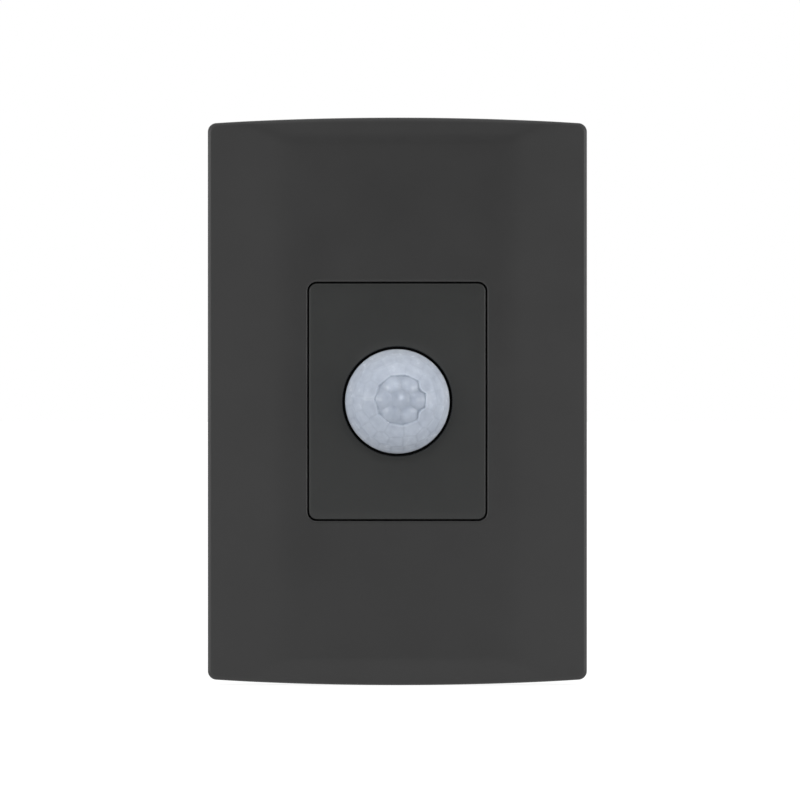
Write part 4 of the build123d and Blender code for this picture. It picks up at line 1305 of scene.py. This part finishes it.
    def back_profile(self) -> list[Pair]:
        """Radii and levels of the rings of the flange and the hollow, from the dome's foot inwards."""
        low, high = self.flange_levels
        outer, edge, inner = self.flange_radius, self.flange_edge, self.radius - self.wall
        hollow_depth = self.sphere - self.flower_depth - self.wall
        profile = [
            (self.radius, high),
            (outer - edge, high),
            (outer, high - edge),
            (outer, low + edge),
            (outer - edge, low),
            (inner, low),
            (inner, self.centre_level),
        ]
        for tilt in np.linspace(np.pi / 2, self.hollow_top_tilt, self.hollow_rings + 1)[1:]:
            profile.append((inner * np.sin(tilt), self.centre_level + hollow_depth * np.cos(tilt)))
        return profile

    def build(self) -> None:
        """Builds the lens as one closed surface carrying its painted light and shade, with the near-black
        ring of painted shade under its edge, and dresses both.
        """
        rim_tilt = np.arcsin(self.radius / self.sphere)
        flower_tilt = np.arcsin(self.flower_reach) + np.radians(self.flower_margin)
        flower_tilts = np.linspace(self.top_tilt, flower_tilt, self.flower_rings)
        cell_tilts = np.linspace(flower_tilt, rim_tilt, self.cell_rings + 1)[1:]
        rings, painted_shading_tones = self.dome_rings(np.concatenate([flower_tilts, cell_tilts]))
        turn = round_turn(self.around)
        circle = np.stack([np.cos(turn), np.sin(turn)], axis=1)
        rings += [at_level(circle * radius, level) for radius, level in self.back_profile()]
        piece = Shell.from_rings(rings, Ends.CAPPED).piece("lens_dome", self.crease)
        # The painted light and shade goes into a point attribute that the lens finish reads; the back rings
        # get none.
        painted_shading = np.zeros(len(piece.data.vertices), dtype=np.float32)
        marked = np.concatenate(painted_shading_tones)
        painted_shading[: len(marked)] = marked
        piece.data.attributes.new("painted_shading", "FLOAT", "POINT").data.foreach_set("value", painted_shading)
        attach(piece, Body.BASE.value)
        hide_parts("fresnel_lens")
        wear(piece, "lens_plastic")
        self.gap_shade_ring(circle)
        log.info("lens: %d faces", len(piece.data.polygons))

    def gap_shade_ring(self, circle: Array) -> None:
        """Near-black ring round the neck of the lens, at the bottom of its gap: a dark sheet of painted
        shade that makes the gap read dark.

        Args:
            circle: Cosines and sines of the places round the ring.
        """
        foot = self.flange_levels[1]
        low, high = foot - self.shade_ring_overlap, foot + self.shade_ring_rise
        inner, outer = self.radius - self.shade_ring_overlap, self.shade_ring_radius
        corners = [(inner, low), (inner, high), (outer, high + self.shade_ring_lean), (outer, low)]
        rings = [at_level(circle * radius, level) for radius, level in corners]
        piece = Shell.from_rings(rings, Ends.JOINED).piece("lens_gap_shade")
        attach(piece, Body.BASE.value)
        piece.data.materials.append(GAP_SHADE_FINISH.material())


@dataclass
class SoftenedCopy:
    """Carried node copied with its edges rounded, as moulding, stamping or turning leaves them."""

    node: str
    rounding: float = 0.12
    crease: float = 32.0
    segments: int = 2
    flat_angle: float = 0.5
    digits: int = 4

    def merged(self) -> tuple[Array, Array]:
        """Points in mm and triangles of the node, with its loose triangles joined at their corners."""
        mesh = frame["nodes"][self.node].data
        loose = np.empty(len(mesh.vertices) * 3)
        mesh.vertices.foreach_get("co", loose)
        corners = np.empty(len(mesh.loops), dtype=np.int64)
        mesh.loops.foreach_get("vertex_index", corners)
        grid = np.round(loose.reshape(-1, 3) / MM, self.digits)
        points, joined = np.unique(grid, axis=0, return_inverse=True)
        triangles = joined.reshape(-1)[corners].reshape(-1, 3)
        whole = (triangles != np.roll(triangles, 1, axis=1)).all(axis=1)
        return points, triangles[whole]

    def build(self) -> None:
        """Copies the node, joins its flat triangles, rounds its edges and dresses it."""
        record = frame["record"]
        slot = next(part["material_slot"] for part in record["subparts"] if part["node"] == self.node)
        body = next(name for name, nodes in record["behaviour"]["bodies"].items() if self.node in nodes)
        points, triangles = self.merged()
        piece = mesh_object(f"{self.node}_softened", points, [triangles], self.crease)
        skin = bmesh.new()
        skin.from_mesh(piece.data)
        flat = np.radians(self.flat_angle)
        bmesh.ops.dissolve_limit(skin, angle_limit=flat, verts=skin.verts, edges=skin.edges)
        skin.to_mesh(piece.data)
        skin.free()
        bevel = piece.modifiers.new("rounding", "BEVEL")
        bevel.width = self.rounding * MM
        bevel.segments = self.segments
        bevel.limit_method = "ANGLE"
        bevel.angle_limit = np.radians(self.crease)
        bevel.harden_normals = True
        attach(piece, body)
        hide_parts(self.node)
        wear(piece, slot)
        log.info("%s: %d faces", piece.name, len(piece.data.polygons))


DIAL_NODES = ("time_dial", "light_dial", "time_dial_body", "light_dial_body")
POLES = (1, 2, 3)
SOFTENED: tuple[SoftenedCopy, ...] = (
    SoftenedCopy("mounting_frame", 0.18),
    SoftenedCopy("rear_housing", 0.2),
    SoftenedCopy("terminal_block", 0.15),
    SoftenedCopy("relay_cover", 0.2),
    *(SoftenedCopy(node) for node in DIAL_NODES),
    *(SoftenedCopy(f"terminal_screw_{pole}") for pole in POLES),
    *(SoftenedCopy(f"wire_clamp_{pole}", 0.1) for pole in POLES),
)


@dataclass(frozen=True)
class Lamp:
    """Soft square lamp that faces the middle of the plate.

    Its bearing is in degrees to the right of the camera and its height in degrees above it.
    """

    name: str
    bearing: float
    height: float
    size: float
    power: float
    distance: float = 1200.0

    def hang(self, target: Array) -> None:
        """Adds the lamp to the scene, turned to a target given in mm."""
        turn, rise = np.radians([self.bearing, self.height])
        away = np.array([np.sin(turn) * np.cos(rise), -np.cos(turn) * np.cos(rise), np.sin(rise)])
        lamp = bpy.data.lights.new(self.name, "AREA")
        lamp.shape = "SQUARE"
        lamp.size = self.size * MM
        lamp.energy = self.power
        holder = bpy.data.objects.new(self.name, lamp)
        bpy.context.scene.collection.objects.link(holder)
        holder.location = (target + away * self.distance) * MM
        holder.rotation_euler = Vector(away).to_track_quat("Z", "Y").to_euler()


@dataclass
class Studio:
    """Plain pale floor, white surroundings, soft lamps and the camera."""

    floor_level: float = -60.05
    floor_half: float = 12000.0
    floor_glow: float = 0.9
    floor_pale: Colour = (0.3, 0.3, 0.3)
    floor_colour: Colour = (0.8, 0.8, 0.8)
    camera_aim: Pair = (0.556, 0.296)
    camera_distance: float = 1000.0
    camera_sensor: float = 36.0
    view_width: float = 168.85
    face_level: float = 8.0
    screen_half: float = 330.0
    screen_heights: Pair = (-170.0, 700.0)
    screen_behind: float = 50.0
    screen_colour: Colour = (0.03, 0.03, 0.03)
    surround: float = 1.0
    ambient: float = 0.7
    lamps: tuple[Lamp, ...] = (
        Lamp("key_lamp", -8.0, 48.0, 500.0, 0.5),
        Lamp("left_lamp", -48.0, 6.0, 420.0, 2.4),
        Lamp("right_lamp", 48.0, 6.0, 420.0, 2.35),
        Lamp("left_rim_lamp", -72.0, 8.0, 420.0, 1.3),
        Lamp("right_rim_lamp", 72.0, 8.0, 420.0, 1.4),
        Lamp("spark_lamp", 4.0, 11.0, 100.0, 0.3),
    )

    def seen_share(self, wiring: Wiring) -> Socket:
        """Share that is 1 for rays that a camera, a gloss or a glass sends, and 0 for the rest.

        Args:
            wiring: The node tree that gets the nodes.

        Returns:
            The socket with the share.
        """
        path = wiring.node("LightPath").outputs
        share = path["Is Camera Ray"]
        for kind in ("Is Glossy Ray", "Is Transmission Ray"):
            share = wiring.maths("MAXIMUM", share, path[kind])
        return share

    def sheet(
        self,
        name: str,
        corners: list[tuple[float, ...]],
        colour: Colour,
    ) -> tuple[bpy.types.Object, Dress]:
        """Flat matt sheet.

        Args:
            name: Name of the piece and of its material.
            corners: Its four corners in mm.
            colour: Its colour.

        Returns:
            The piece, and the nodes of its material.
        """
        piece = mesh_object(name, np.array(corners), [np.array([[0, 1, 2, 3]])])
        dress = Dress(name)
        dress.feed(dress.shader, Base_Color=colour, Roughness=0.9, Specular_IOR_Level=0.0)
        piece.data.materials.append(dress.material)
        return piece, dress

    def floor(self) -> None:
        """Pale floor that is seen white but for the object's shadow."""
        signs = ((-1, -1), (1, -1), (1, 1), (-1, 1))
        corners = [(x * self.floor_half, y * self.floor_half, self.floor_level) for x, y in signs]
        piece, dress = self.sheet("studio_floor", corners, self.floor_colour)
        glow = dress.feed(dress.node("Emission"), Strength=self.floor_glow)
        pale = dress.feed(dress.node("BsdfDiffuse"), Color=self.floor_pale)
        seen, mix = dress.node("AddShader"), dress.node("MixShader")
        for socket, value in (
            (seen.inputs[0], glow.outputs[0]),
            (seen.inputs[1], pale.outputs[0]),
            (mix.inputs[0], self.seen_share(dress)),
            (mix.inputs[1], dress.shader.outputs[0]),
            (mix.inputs[2], seen.outputs[0]),
            (dress.tree.nodes["Material Output"].inputs["Surface"], mix.outputs[0]),
        ):
            dress.put(socket, value)

    def screen(self) -> None:
        """Dark screen behind the camera, which the flat front mirrors, so its slopes stay lighter."""
        y, half = -(self.camera_distance + self.screen_behind), self.screen_half
        low, high = self.screen_heights
        corners = [(-half, y, low), (half, y, low), (half, y, high), (-half, y, high)]
        piece, _ = self.sheet("studio_screen", corners, self.screen_colour)
        piece.visible_camera = False

    def world(self) -> None:
        """White surroundings for the camera and reflections, and a plain dim light otherwise."""
        world = bpy.data.worlds.new("studio")
        bpy.context.scene.world = world
        world.use_nodes = True
        wiring = Wiring(world.node_tree)
        strength = wiring.span(self.seen_share(wiring), self.ambient, self.surround)
        background = wiring.tree.nodes["Background"]
        wiring.feed(background, Color=(1.0, 1.0, 1.0), Strength=strength)

    def camera(self) -> None:
        """Camera straight in front, with a long lens."""
        lens = bpy.data.cameras.new("camera")
        lens.sensor_width = self.camera_sensor
        lens.lens = self.camera_sensor * self.camera_distance / self.view_width
        lens.clip_end = 30.0
        holder = bpy.data.objects.new("camera", lens)
        bpy.context.scene.collection.objects.link(holder)
        x, z = self.camera_aim
        holder.location = (x * MM, -(self.camera_distance + self.face_level) * MM, z * MM)
        holder.rotation_euler = (np.pi / 2, 0.0, 0.0)
        bpy.context.scene.camera = holder

    def build(self) -> None:
        """Sets up the whole studio."""
        self.camera()
        self.screen()
        self.floor()
        self.world()
        for lamp in self.lamps:
            lamp.hang(np.array([0.0, -self.face_level, 0.0]))
        bpy.context.scene.view_settings.view_transform = "Standard"
        log.info("studio: %d lamps", len(self.lamps))


def dress_carried_nodes() -> None:
    """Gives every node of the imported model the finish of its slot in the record."""
    slots = {part["node"]: part["material_slot"] for part in frame["record"]["subparts"]}
    for name, node in frame["nodes"].items():
        wear(node, slots[name])
    log.info("finishes: %d carried nodes", len(frame["nodes"]))


def main() -> None:
    """Builds the studio and each sub-assembly in order."""
    logging.basicConfig(level=logging.INFO, format="%(name)s: %(message)s")
    Studio().build()
    dress_carried_nodes()
    for part in (FrontPlate(), SensorCover(), LensDome(), *SOFTENED):
        part.build()


if __name__ == "__main__":
    main()
